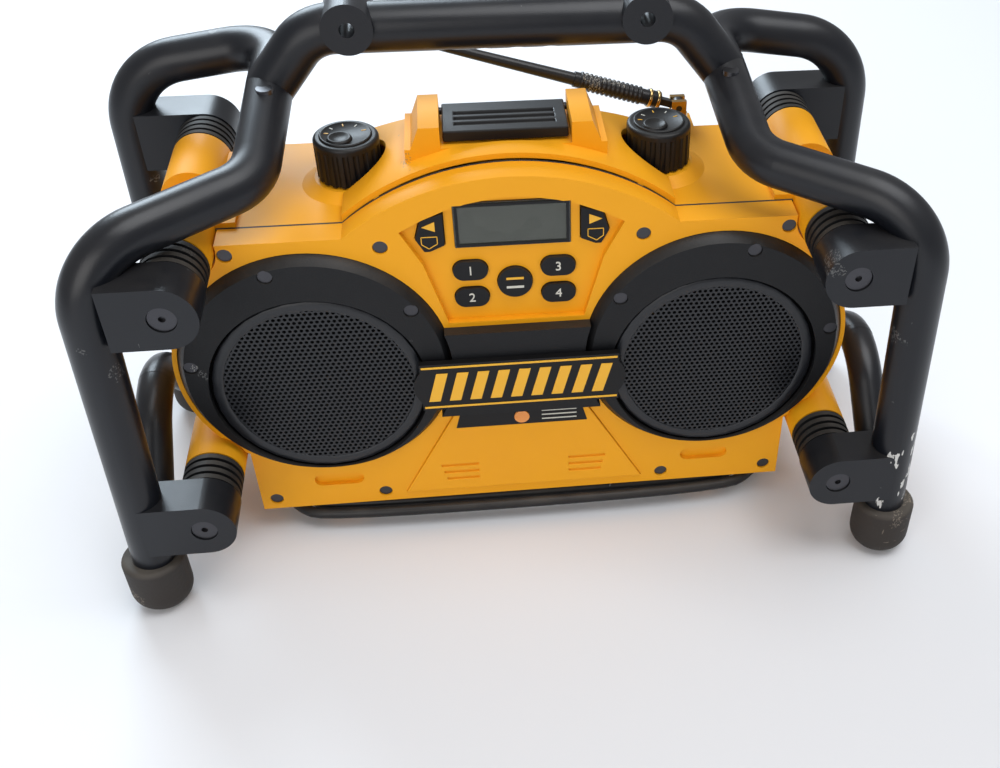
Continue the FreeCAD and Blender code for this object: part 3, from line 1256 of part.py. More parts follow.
def small_screws():
    """The cover screws and the ring screws, each a head and a shank."""
    cover = []
    head_tall = d.screw_head / 2
    back = Vector(0, 1, 0)
    front = d.body_front + d.screw_recess - head_tall
    levels = {"top": d.screw_top, "foot": d.screw_foot}
    spreads = {
        "top": (d.screw_top_outer, d.screw_top_inner),
        "foot": (d.screw_foot_outer, d.screw_foot_inner),
    }
    reach = d.cover_depth + d.gasket_thick + 8 - d.screw_recess
    for _, sign in SIDES:
        for level, height in levels.items():
            for spread in spreads[level]:
                seat = Vector(sign * spread, front, height)
                head = Part.makeCylinder(d.screw_head, head_tall, seat, back)
                cover.append(head.fuse(Part.makeCylinder(d.screw_shank, reach, seat + back * head_tall, back)))
    keep("cover_screws", solid("cover_fasteners", Part.makeCompound(cover)))

    ring = []
    seat_y = d.body_front - d.ring_proud + d.screw_recess - head_tall
    for _, sign in SIDES:
        for degrees in RING_SCREW_ANGLES:
            turn = math.radians(degrees)
            x = sign * (d.ring_spread - d.ring_screw_circle * math.cos(turn))
            z = d.ring_height + d.ring_screw_circle * math.sin(turn)
            seat = Vector(x, seat_y, z)
            head = Part.makeCylinder(d.screw_head, head_tall, seat, back)
            reach = d.ring_proud + d.ring_seat - d.screw_recess
            ring.append(head.fuse(Part.makeCylinder(d.screw_shank, reach, seat + back * head_tall, back)))
    keep("ring_screws", solid("ring_fasteners", Part.makeCompound(ring)))


def cord():
    """The power cord wound on its cleats, with its gland and its plug."""
    z = d.cord_height
    edges = []
    radius = d.cord_inner
    start = Vector(d.gland_side + d.gland_radius, d.cord_back - radius, z)
    sign = 1
    for number in range(int(d.cord_half_turns)):
        if number == int(d.cord_half_turns) - 1:
            radius += d.plug_room / 2
        middle_y = start.y + sign * radius
        enter = Vector(sign * d.cleat_spread, start.y, z)
        turn = Vector(sign * (d.cleat_spread + radius), middle_y, z)
        leave = Vector(sign * d.cleat_spread, middle_y + sign * radius, z)
        edges.append(Part.LineSegment(start, enter).toShape())
        edges.append(Part.Arc(enter, turn, leave).toShape())
        start = leave
        radius += d.cord_pitch / 2
        sign = -sign
    end = Vector(sign * d.plug_side, start.y, z)
    edges.append(Part.LineSegment(start, end).toShape())
    path = Part.Wire(edges)
    first = Vector(d.gland_side + d.gland_radius, d.cord_back - d.cord_inner, z)
    section = Part.Wire(Part.makeCircle(d.cord_radius, first, Vector(1, 0, 0)))
    winding = path.makePipeShell([section], True, False)
    plain_volume = math.pi * d.cord_radius**2 * path.Length
    print("cord length", round(path.Length, 1), "volume ratio", round(winding.Volume / plain_volume, 5))
    print("least gap between turns", round(least_gap(path), 3))
    keep("power_cord", solid("winding", winding))

    gland_height = d.body_bottom - (z - d.gland_radius)
    centre = Vector(d.gland_side, d.cord_back - d.cord_inner, z - d.gland_radius)
    gland = Part.makeCylinder(d.gland_radius, gland_height + d.wall, centre, Vector(0, 0, 1))
    nose = Part.makeCylinder(d.gland_radius, d.gland_radius, Vector(d.gland_side, centre.y, z), Vector(1, 0, 0))
    keep("cord_gland", solid("gland", gland.fuse(nose)))

    way = sign
    low_x = end.x if way > 0 else end.x - d.plug_long
    low_corner = Vector(low_x, end.y - d.plug_wide / 2, z - d.plug_tall / 2)
    body = Part.makeBox(d.plug_long, d.plug_wide, d.plug_tall, low_corner)
    body = body.makeFillet(d.plug_round, [edge for edge in body.Edges if edge.BoundBox.XLength > 1])
    blades = []
    for offset in (-1, 1):
        tip = end.x + way * d.plug_long
        low_y = end.y + offset * d.blade_spread - d.blade_thick / 2
        corner = Vector(min(tip, tip + way * d.blade_long), low_y, z - d.blade_tall / 2)
        blades.append(Part.makeBox(d.blade_long, d.blade_thick, d.blade_tall, corner))
    keep("power_plug", solid("plug", body.fuse(blades)))


def least_gap(path):
    """The least distance between the surfaces of two stretches of cord that aren't neighbours."""
    step = d.cord_radius
    count = int(path.Length / step)
    points = path.discretize(Number=count)
    skip = int(math.pi * d.cord_inner / step) + 1
    nearest = min(
        (first - second).Length
        for index, first in enumerate(points)
        for second in points[index + skip :]
    )
    return nearest - 2 * d.cord_radius


front_cover()
rear_housing()
cover_gasket()
speaker_rings()
grilles()
speakers()
centre_band()
charge_panel()
display()
keys()
boards()
for control_name, (control_side, control_sign) in zip(("volume", "tuning"), SIDES):
    rotary(control_name, control_side, control_sign)
latch()
battery_door()
antenna()
cage()
handle()
shock_mounts()
small_screws()
cord()
doc.recompute()

failed = [item.Label for item in doc.Objects if {"Invalid", "Error"} & set(item.State)]
for name, item in pieces.items():
    shape = item.Shape
    if shape.isNull() or not shape.isValid() or not shape.Solids:
        failed.append(name)
if failed:
    raise RuntimeError(f"these pieces failed: {failed}")
for name, item in pieces.items():
    item.Shape.exportStep(f"parts/{name}.step")
print(len(pieces), "pieces")
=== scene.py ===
"""Dresses the jobsite radio: a finish for each node, and its small pieces."""

import json
import logging
import math
from dataclasses import dataclass, field
from enum import Enum

import bpy
from mathutils import Matrix, Vector

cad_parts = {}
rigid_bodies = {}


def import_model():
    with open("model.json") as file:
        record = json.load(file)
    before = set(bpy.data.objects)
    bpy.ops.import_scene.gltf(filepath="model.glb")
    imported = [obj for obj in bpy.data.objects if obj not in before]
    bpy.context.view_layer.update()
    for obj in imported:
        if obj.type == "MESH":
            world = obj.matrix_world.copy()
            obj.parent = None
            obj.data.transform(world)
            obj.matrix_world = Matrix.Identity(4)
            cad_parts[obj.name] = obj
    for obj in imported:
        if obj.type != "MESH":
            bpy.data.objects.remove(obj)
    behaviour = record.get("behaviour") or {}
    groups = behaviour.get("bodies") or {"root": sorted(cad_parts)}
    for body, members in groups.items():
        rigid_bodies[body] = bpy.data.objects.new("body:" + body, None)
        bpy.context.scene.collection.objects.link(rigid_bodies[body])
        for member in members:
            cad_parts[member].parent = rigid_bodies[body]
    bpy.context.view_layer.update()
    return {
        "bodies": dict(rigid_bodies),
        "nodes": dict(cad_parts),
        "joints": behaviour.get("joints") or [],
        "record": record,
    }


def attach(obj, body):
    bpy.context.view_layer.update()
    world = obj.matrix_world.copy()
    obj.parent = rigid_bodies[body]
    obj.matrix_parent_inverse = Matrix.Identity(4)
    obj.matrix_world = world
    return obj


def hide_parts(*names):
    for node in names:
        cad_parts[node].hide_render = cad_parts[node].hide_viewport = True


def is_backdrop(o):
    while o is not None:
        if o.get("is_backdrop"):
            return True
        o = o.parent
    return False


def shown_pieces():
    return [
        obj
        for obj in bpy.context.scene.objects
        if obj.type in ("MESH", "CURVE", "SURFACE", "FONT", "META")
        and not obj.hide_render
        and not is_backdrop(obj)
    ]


LOG = logging.getLogger("radio")
Colour = tuple[float, float, float]
Point = tuple[float, float, float]
Profile = list[tuple[float, float]]

SIDES = (("left", -1), ("right", 1))
FACING_FRONT = (math.pi / 2, 0, 0)
SMOOTH_ANGLE = math.radians(40)
ROOT_THREE = math.sqrt(3)
HEXAGON = 6
WELD_GAP = 0.00001
# Sockets of the Mix node that carry colours: both inputs, and the output.
MIX_INPUTS = (6, 7)
MIX_OUTPUT = 2


class Pattern(Enum):
    """What a finish shows on top of its grain."""

    PLAIN = "plain"
    RIBS = "ribs"
    LAMINATE = "laminate"
    BOARD = "board"


class GroupKit:
    """Builds the node groups that several finishes share.

    Noise scales are in cycles per metre, and the limits are on a mask from 0 to 1.
    """

    SLOW_TONE = 14.0
    TONE_TO_ROUGHNESS = 0.3
    PATCH_SCALE = 26.0
    PATCH_GAIN = 1.12
    LINE_SCALE = 60.0
    CROSS_SCALE = 75.0
    LINE_STRETCH = (1.0, 1.0, 9.0)
    CROSS_STRETCH = (8.0, 8.0, 1.0)
    SPECK_SCALE = 900.0
    SPECK_LIMIT = 0.55
    LEAST_WEAR = 0.8
    WEAR_SHARE = 0.12
    LINE_MARGIN = 0.02
    LINE_PATCH_LIMIT = 0.53
    DUST_FINE = 60.0
    DUST_BROAD = 9.0
    SCRAPE_SQUEEZE = 6.0
    STREAK_SCALE = 220.0
    STREAK_STRETCH = (1.0, 1.0, 0.35)
    STREAK_LIMIT = 0.6

    def __init__(self) -> None:
        """Make each group once."""
        self.grain = self._grain()
        self.wear = self._wear()
        self.dust = self._dust()
        self.scrape = self._scrape()

    @staticmethod
    def _start(
        name: str, inputs: dict[str, float], outputs: tuple[str, ...]
    ) -> tuple:
        """Open a group with plain number sockets.

        Args:
            name: the group's name.
            inputs: input names and their default values.
            outputs: output names.

        Returns:
            The tree, its input node and its output node.
        """
        tree = bpy.data.node_groups.new(name, "ShaderNodeTree")
        for label, value in inputs.items():
            socket = tree.interface.new_socket(
                label, in_out="INPUT", socket_type="NodeSocketFloat"
            )
            socket.default_value = value
        for label in outputs:
            tree.interface.new_socket(
                label, in_out="OUTPUT", socket_type="NodeSocketFloat"
            )
        return tree, tree.nodes.new("NodeGroupInput"), tree.nodes.new("NodeGroupOutput")

    @staticmethod
    def calc(
        tree: bpy.types.NodeTree, kind: str, first: object, second: object = 0.0
    ) -> object:
        """Add a Math node and return its output.

        Args:
            tree: the tree it goes in.
            kind: the operation.
            first: a socket or a number.
            second: a socket or a number.

        Returns:
            The output socket.
        """
        node = tree.nodes.new("ShaderNodeMath")
        node.operation = kind
        for index, value in enumerate((first, second)):
            if isinstance(value, (int, float)):
                node.inputs[index].default_value = value
            else:
                tree.links.new(value, node.inputs[index])
        return node.outputs[0]

    def _noise(
        self,
        tree: bpy.types.NodeTree,
        scale: object,
        detail: float,
        stretch: Point = (1, 1, 1),
    ) -> object:
        """Add a noise texture on Object coordinates.

        Args:
            tree: the tree it goes in.
            scale: a socket or a number.
            detail: octaves.
            stretch: how much the pattern is squeezed along each axis.

        Returns:
            The noise value's socket.
        """
        place = tree.nodes.new("ShaderNodeTexCoord")
        turn = tree.nodes.new("ShaderNodeMapping")
        turn.inputs["Scale"].default_value = stretch
        noise = tree.nodes.new("ShaderNodeTexNoise")
        noise.inputs["Detail"].default_value = detail
        tree.links.new(place.outputs["Object"], turn.inputs["Vector"])
        tree.links.new(turn.outputs["Vector"], noise.inputs["Vector"])
        if isinstance(scale, (int, float)):
            noise.inputs["Scale"].default_value = scale
        else:
            tree.links.new(scale, noise.inputs["Scale"])
        return noise.outputs["Fac"]

    def _grain(self) -> bpy.types.NodeTree:
        """The fine texture of a mould and its slow changes of tone."""
        inputs = {"Scale": 900.0, "Roughness": 0.45}
        outputs = ("Tone", "Roughness", "Height")
        tree, given, result = self._start("mould_grain", inputs, outputs)
        fine = self._noise(tree, given.outputs["Scale"], detail=2.0)
        slow = self._noise(tree, self.SLOW_TONE, detail=3.0)
        swing = self.calc(tree, "SUBTRACT", slow, 0.5)
        offset = self.calc(tree, "MULTIPLY", swing, self.TONE_TO_ROUGHNESS)
        rough = self.calc(tree, "ADD", given.outputs["Roughness"], offset)
        tree.links.new(slow, result.inputs["Tone"])
        tree.links.new(rough, result.inputs["Roughness"])
        tree.links.new(fine, result.inputs["Height"])
        return tree

    def _wear(self) -> bpy.types.NodeTree:
        """Thin scratches and small rubbed patches, as a mask from 0 to 1."""
        tree, given, result = self._start("scuffs", {"Amount": 0.3}, ("Mask",))
        share = self.calc(tree, "MULTIPLY", given.outputs["Amount"], self.WEAR_SHARE)
        limit = self.calc(tree, "SUBTRACT", self.LEAST_WEAR, share)
        patch = self._noise(tree, self.PATCH_SCALE, detail=6.0)
        lines = self._noise(tree, self.LINE_SCALE, detail=2.0, stretch=self.LINE_STRETCH)
        turned = self.CROSS_STRETCH
        across = self._noise(tree, self.CROSS_SCALE, detail=2.0, stretch=turned)
        marks = self.calc(tree, "MAXIMUM", lines, across)
        raised = self.calc(tree, "MULTIPLY", patch, self.PATCH_GAIN)
        rubbed = self.calc(tree, "GREATER_THAN", raised, limit)
        line_limit = self.calc(tree, "ADD", limit, self.LINE_MARGIN)
        scratched = self.calc(tree, "GREATER_THAN", marks, line_limit)
        specks = self._noise(tree, self.SPECK_SCALE, detail=4.0)
        spots = self.calc(tree, "GREATER_THAN", specks, self.SPECK_LIMIT)
        spotty = self.calc(tree, "MULTIPLY", rubbed, spots)
        worn = self.calc(tree, "GREATER_THAN", patch, self.LINE_PATCH_LIMIT)
        thin = self.calc(tree, "MULTIPLY", scratched, worn)
        mask = self.calc(tree, "MAXIMUM", spotty, thin)
        tree.links.new(mask, result.inputs["Mask"])
        return tree

    def _dust(self) -> bpy.types.NodeTree:
        """Dust that lies where a surface faces up."""
        tree, given, result = self._start("dust", {"Amount": 0.2}, ("Mask",))
        shape = tree.nodes.new("ShaderNodeNewGeometry")
        split = tree.nodes.new("ShaderNodeSeparateXYZ")
        tree.links.new(shape.outputs["Normal"], split.inputs[0])
        up = self.calc(tree, "MAXIMUM", split.outputs["Z"], 0.0)
        fine = self._noise(tree, self.DUST_FINE, detail=6.0)
        broad = self._noise(tree, self.DUST_BROAD, detail=3.0)
        cloud = self.calc(tree, "MULTIPLY", fine, broad)
        lying = self.calc(tree, "MULTIPLY", up, cloud)
        mask = self.calc(tree, "MULTIPLY", lying, given.outputs["Amount"])
        tree.links.new(mask, result.inputs["Mask"])
        return tree

    def _scrape(self) -> bpy.types.NodeTree:
        """Pale paint that rubbed off on one spot, in broken streaks."""
        inputs = {"Across": 0.0, "Front": 0.0, "Height": 0.0, "Reach": 0.036}
        tree, given, result = self._start("paint_scrape", inputs, ("Mask",))
        place = tree.nodes.new("ShaderNodeTexCoord")
        split = tree.nodes.new("ShaderNodeSeparateXYZ")
        tree.links.new(place.outputs["Object"], split.inputs[0])
        x, y, z = (
            self.calc(tree, "SUBTRACT", split.outputs[axis], given.outputs[centre])
            for axis, centre in (("X", "Across"), ("Y", "Front"), ("Z", "Height"))
        )
        x_square = self.calc(tree, "POWER", x, 2.0)
        y_square = self.calc(tree, "POWER", y, 2.0)
        flat = self.calc(tree, "ADD", x_square, y_square)
        squeezed = self.calc(tree, "MULTIPLY", flat, self.SCRAPE_SQUEEZE)
        z_square = self.calc(tree, "POWER", z, 2.0)
        away = self.calc(tree, "SQRT", self.calc(tree, "ADD", squeezed, z_square))
        near = self.calc(tree, "LESS_THAN", away, given.outputs["Reach"])
        long = self.STREAK_STRETCH
        noise = self._noise(tree, self.STREAK_SCALE, detail=5.0, stretch=long)
        streaks = self.calc(tree, "GREATER_THAN", noise, self.STREAK_LIMIT)
        mask = self.calc(tree, "MULTIPLY", near, streaks)
        tree.links.new(mask, result.inputs["Mask"])
        return tree


DUST_COLOUR = (0.42, 0.37, 0.3, 1)
SCRAPE_COLOUR = (0.62, 0.61, 0.58, 1)
SCRAPE_PLACE = {"Across": 0.222, "Front": -0.1, "Height": 0.062}
COAT_ROUGHNESS = 0.25
BUMP_DISTANCE = 0.0004
BAND_SCALE = 160.0
BOARD_DISTORTION = 4.0
BAND_DIRECTION = {
    Pattern.RIBS: "X",
    Pattern.LAMINATE: "Z",
    Pattern.BOARD: "DIAGONAL",
}


@dataclass(frozen=True)
class Finish:
    """One material: its colours, gloss, grain and wear."""

    name: str
    colour: Colour
    shade: Colour
    roughness: float = 0.45
    grain: float = 900.0
    bump: float = 0.12
    scuff: float = 0.0
    scuff_colour: Colour = (0.2, 0.2, 0.2)
    dust: float = 0.15
    metal: float = 0.0
    coat: float = 0.0
    clear: float = 0.0
    shine: float = 0.5
    scraped: bool = False
    pattern: Pattern = Pattern.PLAIN

    def build(self, kit: GroupKit) -> bpy.types.Material:
        """Make the material.

        Args:
            kit: the shared node groups.

        Returns:
            The finished material.
        """
        material = bpy.data.materials.new(self.name)
        material.use_nodes = True
        tree = material.node_tree
        shader = tree.nodes["Principled BSDF"]
        shader.inputs["Metallic"].default_value = self.metal
        shader.inputs["Coat Weight"].default_value = self.coat
        shader.inputs["Coat Roughness"].default_value = COAT_ROUGHNESS
        shader.inputs["Specular IOR Level"].default_value = self.shine
        texture = {"Scale": self.grain, "Roughness": self.roughness}
        grain = self._group(tree, kit.grain, texture)
        tones = ((*self.shade, 1), (*self.colour, 1))
        colour = self._mix(tree, grain.outputs["Tone"], *tones)
        if self.scuff:
            wear = self._group(tree, kit.wear, {"Amount": self.scuff})
            rubbed = (*self.scuff_colour, 1)
            colour = self._mix(tree, wear.outputs["Mask"], colour, rubbed)
        if self.scraped:
            scrape = self._group(tree, kit.scrape, SCRAPE_PLACE)
            colour = self._mix(tree, scrape.outputs["Mask"], colour, SCRAPE_COLOUR)
        if self.dust:
            dust = self._group(tree, kit.dust, {"Amount": self.dust})
            colour = self._mix(tree, dust.outputs["Mask"], colour, DUST_COLOUR)
        height = grain.outputs["Height"]
        if self.pattern is not Pattern.PLAIN:
            height = GroupKit.calc(tree, "ADD", height, self._wave(tree))
        tree.links.new(colour, shader.inputs["Base Color"])
        tree.links.new(grain.outputs["Roughness"], shader.inputs["Roughness"])
        bump = tree.nodes.new("ShaderNodeBump")
        bump.inputs["Strength"].default_value = self.bump
        bump.inputs["Distance"].default_value = BUMP_DISTANCE
        tree.links.new(height, bump.inputs["Height"])
        tree.links.new(bump.outputs["Normal"], shader.inputs["Normal"])
        if self.clear:
            shader.inputs["Transmission Weight"].default_value = self.clear
        return material

    def _wave(self, tree: bpy.types.NodeTree) -> object:
        """Add the bands of a laminate, a board or a ribbed face.

        Args:
            tree: the material's tree.

        Returns:
            The bands' height socket.
        """
        place = tree.nodes.new("ShaderNodeTexCoord")
        wave = tree.nodes.new("ShaderNodeTexWave")
        wave.bands_direction = BAND_DIRECTION[self.pattern]
        wave.inputs["Scale"].default_value = BAND_SCALE
        if self.pattern is Pattern.BOARD:
            wave.inputs["Distortion"].default_value = BOARD_DISTORTION
        tree.links.new(place.outputs["Object"], wave.inputs["Vector"])
        return wave.outputs["Fac"]

    @staticmethod
    def _group(
        tree: bpy.types.NodeTree, group: bpy.types.NodeTree, values: dict[str, float]
    ) -> bpy.types.Node:
        """Place a shared group with its own values.

        Args:
            tree: the material's tree.
            group: the group.
            values: what its inputs are set to.

        Returns:
            The group's node.
        """
        node = tree.nodes.new("ShaderNodeGroup")
        node.node_tree = group
        for label, value in values.items():
            node.inputs[label].default_value = value
        return node

    @staticmethod
    def _mix(
        tree: bpy.types.NodeTree, amount: object, first: object, second: object
    ) -> object:
        """Mix two colours by a mask.

        Args:
            tree: the material's tree.
            amount: the mask's socket.
            first: a colour or a socket, shown at 0.
            second: a colour or a socket, shown at 1.

        Returns:
            The mixed colour's socket.
        """
        node = tree.nodes.new("ShaderNodeMix")
        node.data_type = "RGBA"
        tree.links.new(amount, node.inputs["Factor"])
        for index, value in zip(MIX_INPUTS, (first, second)):
            socket = node.inputs[index]
            if isinstance(value, tuple):
                socket.default_value = value
            else:
                tree.links.new(value, socket)
        return node.outputs[MIX_OUTPUT]


ORANGE = (0.92, 0.405, 0.004)
BLACK = (0.006, 0.0065, 0.008)


def both(*parts: str) -> tuple[str, ...]:
    """Name the left and the right one of each part.

    Args:
        parts: the parts' names without their side.

    Returns:
        The full names.
    """
    return tuple(f"{side}_{part}" for part in parts for side, _ in SIDES)


FINISHES = {
    "housing": Finish(
        name="orange_housing", colour=ORANGE, shade=(0.87, 0.355, 0.003), roughness=0.5,
        grain=1500.0, bump=0.1, scuff=0.1, scuff_colour=(0.55, 0.3, 0.06), dust=0.06,
        shine=0.35,
    ),
    "cage": Finish(
        name="cage_plastic", colour=(0.0065, 0.008, 0.012),
        shade=(0.0045, 0.0055, 0.0085), roughness=0.34, grain=1300.0, scuff=0.3,
        scuff_colour=(0.09, 0.09, 0.09), dust=0.1, shine=0.4, scraped=True,
    ),
    "mount": Finish(
        name="ribbed_rubber", colour=(0.008, 0.008, 0.009), shade=(0.005, 0.005, 0.006),
        roughness=0.6, grain=700.0, bump=0.2, scuff=0.1,
        scuff_colour=(0.08, 0.075, 0.07), dust=0.4, shine=0.3,
    ),
    "foot": Finish(
        name="worn_foot_rubber", colour=(0.035, 0.026, 0.02),
        shade=(0.018, 0.015, 0.013), roughness=0.75, grain=420.0, bump=0.5, scuff=0.7,
        scuff_colour=(0.16, 0.13, 0.1), dust=0.5,
    ),
    "ring": Finish(
        name="ring_plastic", colour=BLACK, shade=(0.0045, 0.0048, 0.006),
        roughness=0.46, grain=1000.0, bump=0.3, scuff=0.08,
        scuff_colour=(0.1, 0.1, 0.1), dust=0.2, shine=0.3,
    ),
    "badge": Finish(
        name="badge_plate", colour=(0.004, 0.004, 0.005), shade=(0.003, 0.003, 0.0035),
        roughness=0.36, grain=1500.0, bump=0.06, scuff=0.05, dust=0.05, shine=0.3,
    ),
    "trim": Finish(
        name="black_trim", colour=(0.006, 0.0065, 0.008), shade=(0.004, 0.0045, 0.0055),
        roughness=0.4, grain=1100.0, scuff=0.15, scuff_colour=(0.08, 0.08, 0.08),
        dust=0.12, shine=0.3,
    ),
    "key": Finish(
        name="key_rubber", colour=(0.006, 0.0065, 0.008), shade=(0.004, 0.004, 0.005),
        roughness=0.5, bump=0.1, scuff=0.06, shine=0.3,
    ),
    "grille": Finish(
        name="punched_grille", colour=(0.012, 0.014, 0.018),
        shade=(0.008, 0.009, 0.012), roughness=0.34, bump=0.2, dust=0.05,
    ),
    # Painted shade: the pressed grilles behind the punched sheets are coloured
    # near-black, so the holes show the dark of the shaded speaker hollow.
    "hollow": Finish(
        name="painted_shade_behind_grille", colour=(0.0008, 0.0008, 0.001),
        shade=(0.0006, 0.0006, 0.0008), roughness=0.9, bump=0.1, dust=0.0, shine=0.05,
    ),
    "basket": Finish(
        name="pressed_basket", colour=(0.03, 0.03, 0.032), shade=(0.02, 0.02, 0.022),
        roughness=0.4, metal=0.6, pattern=Pattern.RIBS,
    ),
    "cone": Finish(
        name="paper_cone", colour=(0.045, 0.043, 0.04), shade=(0.03, 0.029, 0.027),
        roughness=0.85, grain=500.0, bump=0.5,
    ),
    "magnet": Finish(
        name="plated_magnet", colour=(0.35, 0.35, 0.36), shade=(0.25, 0.25, 0.26),
        roughness=0.35, scuff=0.3, metal=1.0,
    ),
    "core": Finish(
        name="laminated_core", colour=(0.2, 0.19, 0.18), shade=(0.12, 0.11, 0.1),
        roughness=0.5, metal=0.8, pattern=Pattern.LAMINATE,
    ),
    "screw": Finish(
        name="dark_screw", colour=(0.09, 0.09, 0.1), shade=(0.05, 0.05, 0.055),
        roughness=0.35, grain=1500.0, bump=0.1, scuff=0.3,
        scuff_colour=(0.3, 0.29, 0.27), metal=0.9,
    ),
    "brass": Finish(
        name="worn_brass", colour=(0.78, 0.52, 0.2), shade=(0.5, 0.33, 0.14),
        roughness=0.26, scuff=0.5, scuff_colour=(0.8, 0.76, 0.68), dust=0.1, metal=1.0,
    ),
    "whip": Finish(
        name="antenna_black", colour=(0.016, 0.016, 0.018), shade=(0.01, 0.01, 0.012),
        roughness=0.34, scuff=0.3, scuff_colour=(0.3, 0.28, 0.24), dust=0.2, coat=0.2,
        shine=0.3,
    ),
    "shaft": Finish(
        name="machined_control", colour=(0.55, 0.55, 0.57), shade=(0.4, 0.4, 0.42),
        roughness=0.3, metal=1.0, pattern=Pattern.RIBS,
    ),
    "window": Finish(
        name="clear_window", colour=(0.36, 0.39, 0.33), shade=(0.3, 0.33, 0.28),
        roughness=0.14, grain=400.0, bump=0.02, dust=0.1, clear=0.8,
    ),
    "panel": Finish(
        name="unlit_display", colour=(0.085, 0.098, 0.07), shade=(0.06, 0.07, 0.05),
        roughness=0.3, grain=500.0, bump=0.03, dust=0.0,
    ),
    "board": Finish(
        name="green_board", colour=(0.02, 0.16, 0.05), shade=(0.012, 0.09, 0.03),
        roughness=0.35, bump=0.4, dust=0.1, coat=0.3, pattern=Pattern.BOARD,
    ),
    "lens": Finish(
        name="orange_lens", colour=(0.9, 0.36, 0.05), shade=(0.8, 0.24, 0.03),
        roughness=0.16, grain=700.0, bump=0.04, dust=0.1, coat=0.8,
    ),
    "cord": Finish(
        name="cord_rubber", colour=(0.012, 0.012, 0.014), shade=(0.009, 0.009, 0.01),
        roughness=0.42, grain=800.0, bump=0.15, scuff=0.1, dust=0.3, shine=0.3,
    ),
    "mark": Finish(
        name="pale_print", colour=(0.72, 0.7, 0.62), shade=(0.6, 0.58, 0.5),
        roughness=0.5, bump=0.05, scuff=0.1, scuff_colour=BLACK, dust=0.0,
    ),
    "yellow": Finish(
        name="yellow_print", colour=(0.93, 0.5, 0.03), shade=(0.85, 0.42, 0.02),
        bump=0.05, scuff=0.1, scuff_colour=BLACK, dust=0.0,
    ),
}
PRESET_KEYS = tuple(f"preset_key_{number}" for number in (1, 2, 3, 4))
DRESS = {
    "housing": ("rear_housing", "front_cover", "charge_panel"),
    "cage": (*both("front_leg", "rear_leg", "side_rail"), "top_handle"),
    "mount": ("shock_mounts", "cover_gasket", "cord_gland"),
    "foot": ("rubber_feet",),
    "ring": (*both("speaker_ring"), "centre_band"),
    "badge": ("badge_plate",),
    "trim": (
        "battery_latch",
        "battery_door",
        "volume_knob",
        "tuning_knob",
        "battery_terminals",
        "power_plug",
    ),
    "key": (*PRESET_KEYS, "mode_key", *both("tuning_key")),
    # The pressed grilles carry the painted shade that shows through the holes of the
    # punched sheets.
    "hollow": both("grille"),
    "basket": both("speaker_basket"),
    "cone": both("speaker_cone"),
    "magnet": both("speaker_magnet"),
    "core": ("transformer",),
    "screw": (
        "cover_screws",
        "ring_screws",
        "cage_screws",
        "mount_screws",
        "door_pin",
        "latch_pin",
        "antenna_screw",
    ),
    "brass": ("antenna_knuckle",),
    "whip": ("antenna_whip",),
    "shaft": ("volume_control", "tuning_control"),
    "window": ("display_window",),
    "panel": ("display_module",),
    "board": ("main_board", "key_board"),
    "lens": ("charge_light_lens",),
}
# Width of the rounded edges, and the nodes that have them.
ROUNDED = {
    0.0016: ("rear_housing", "front_cover"),
    0.0012: both("speaker_ring"),
    0.001: ("battery_latch", "battery_door"),
    0.0007: (*PRESET_KEYS, "mode_key"),
    0.0006: ("badge_plate", *both("tuning_key")),
    0.0005: ("charge_panel",),
}


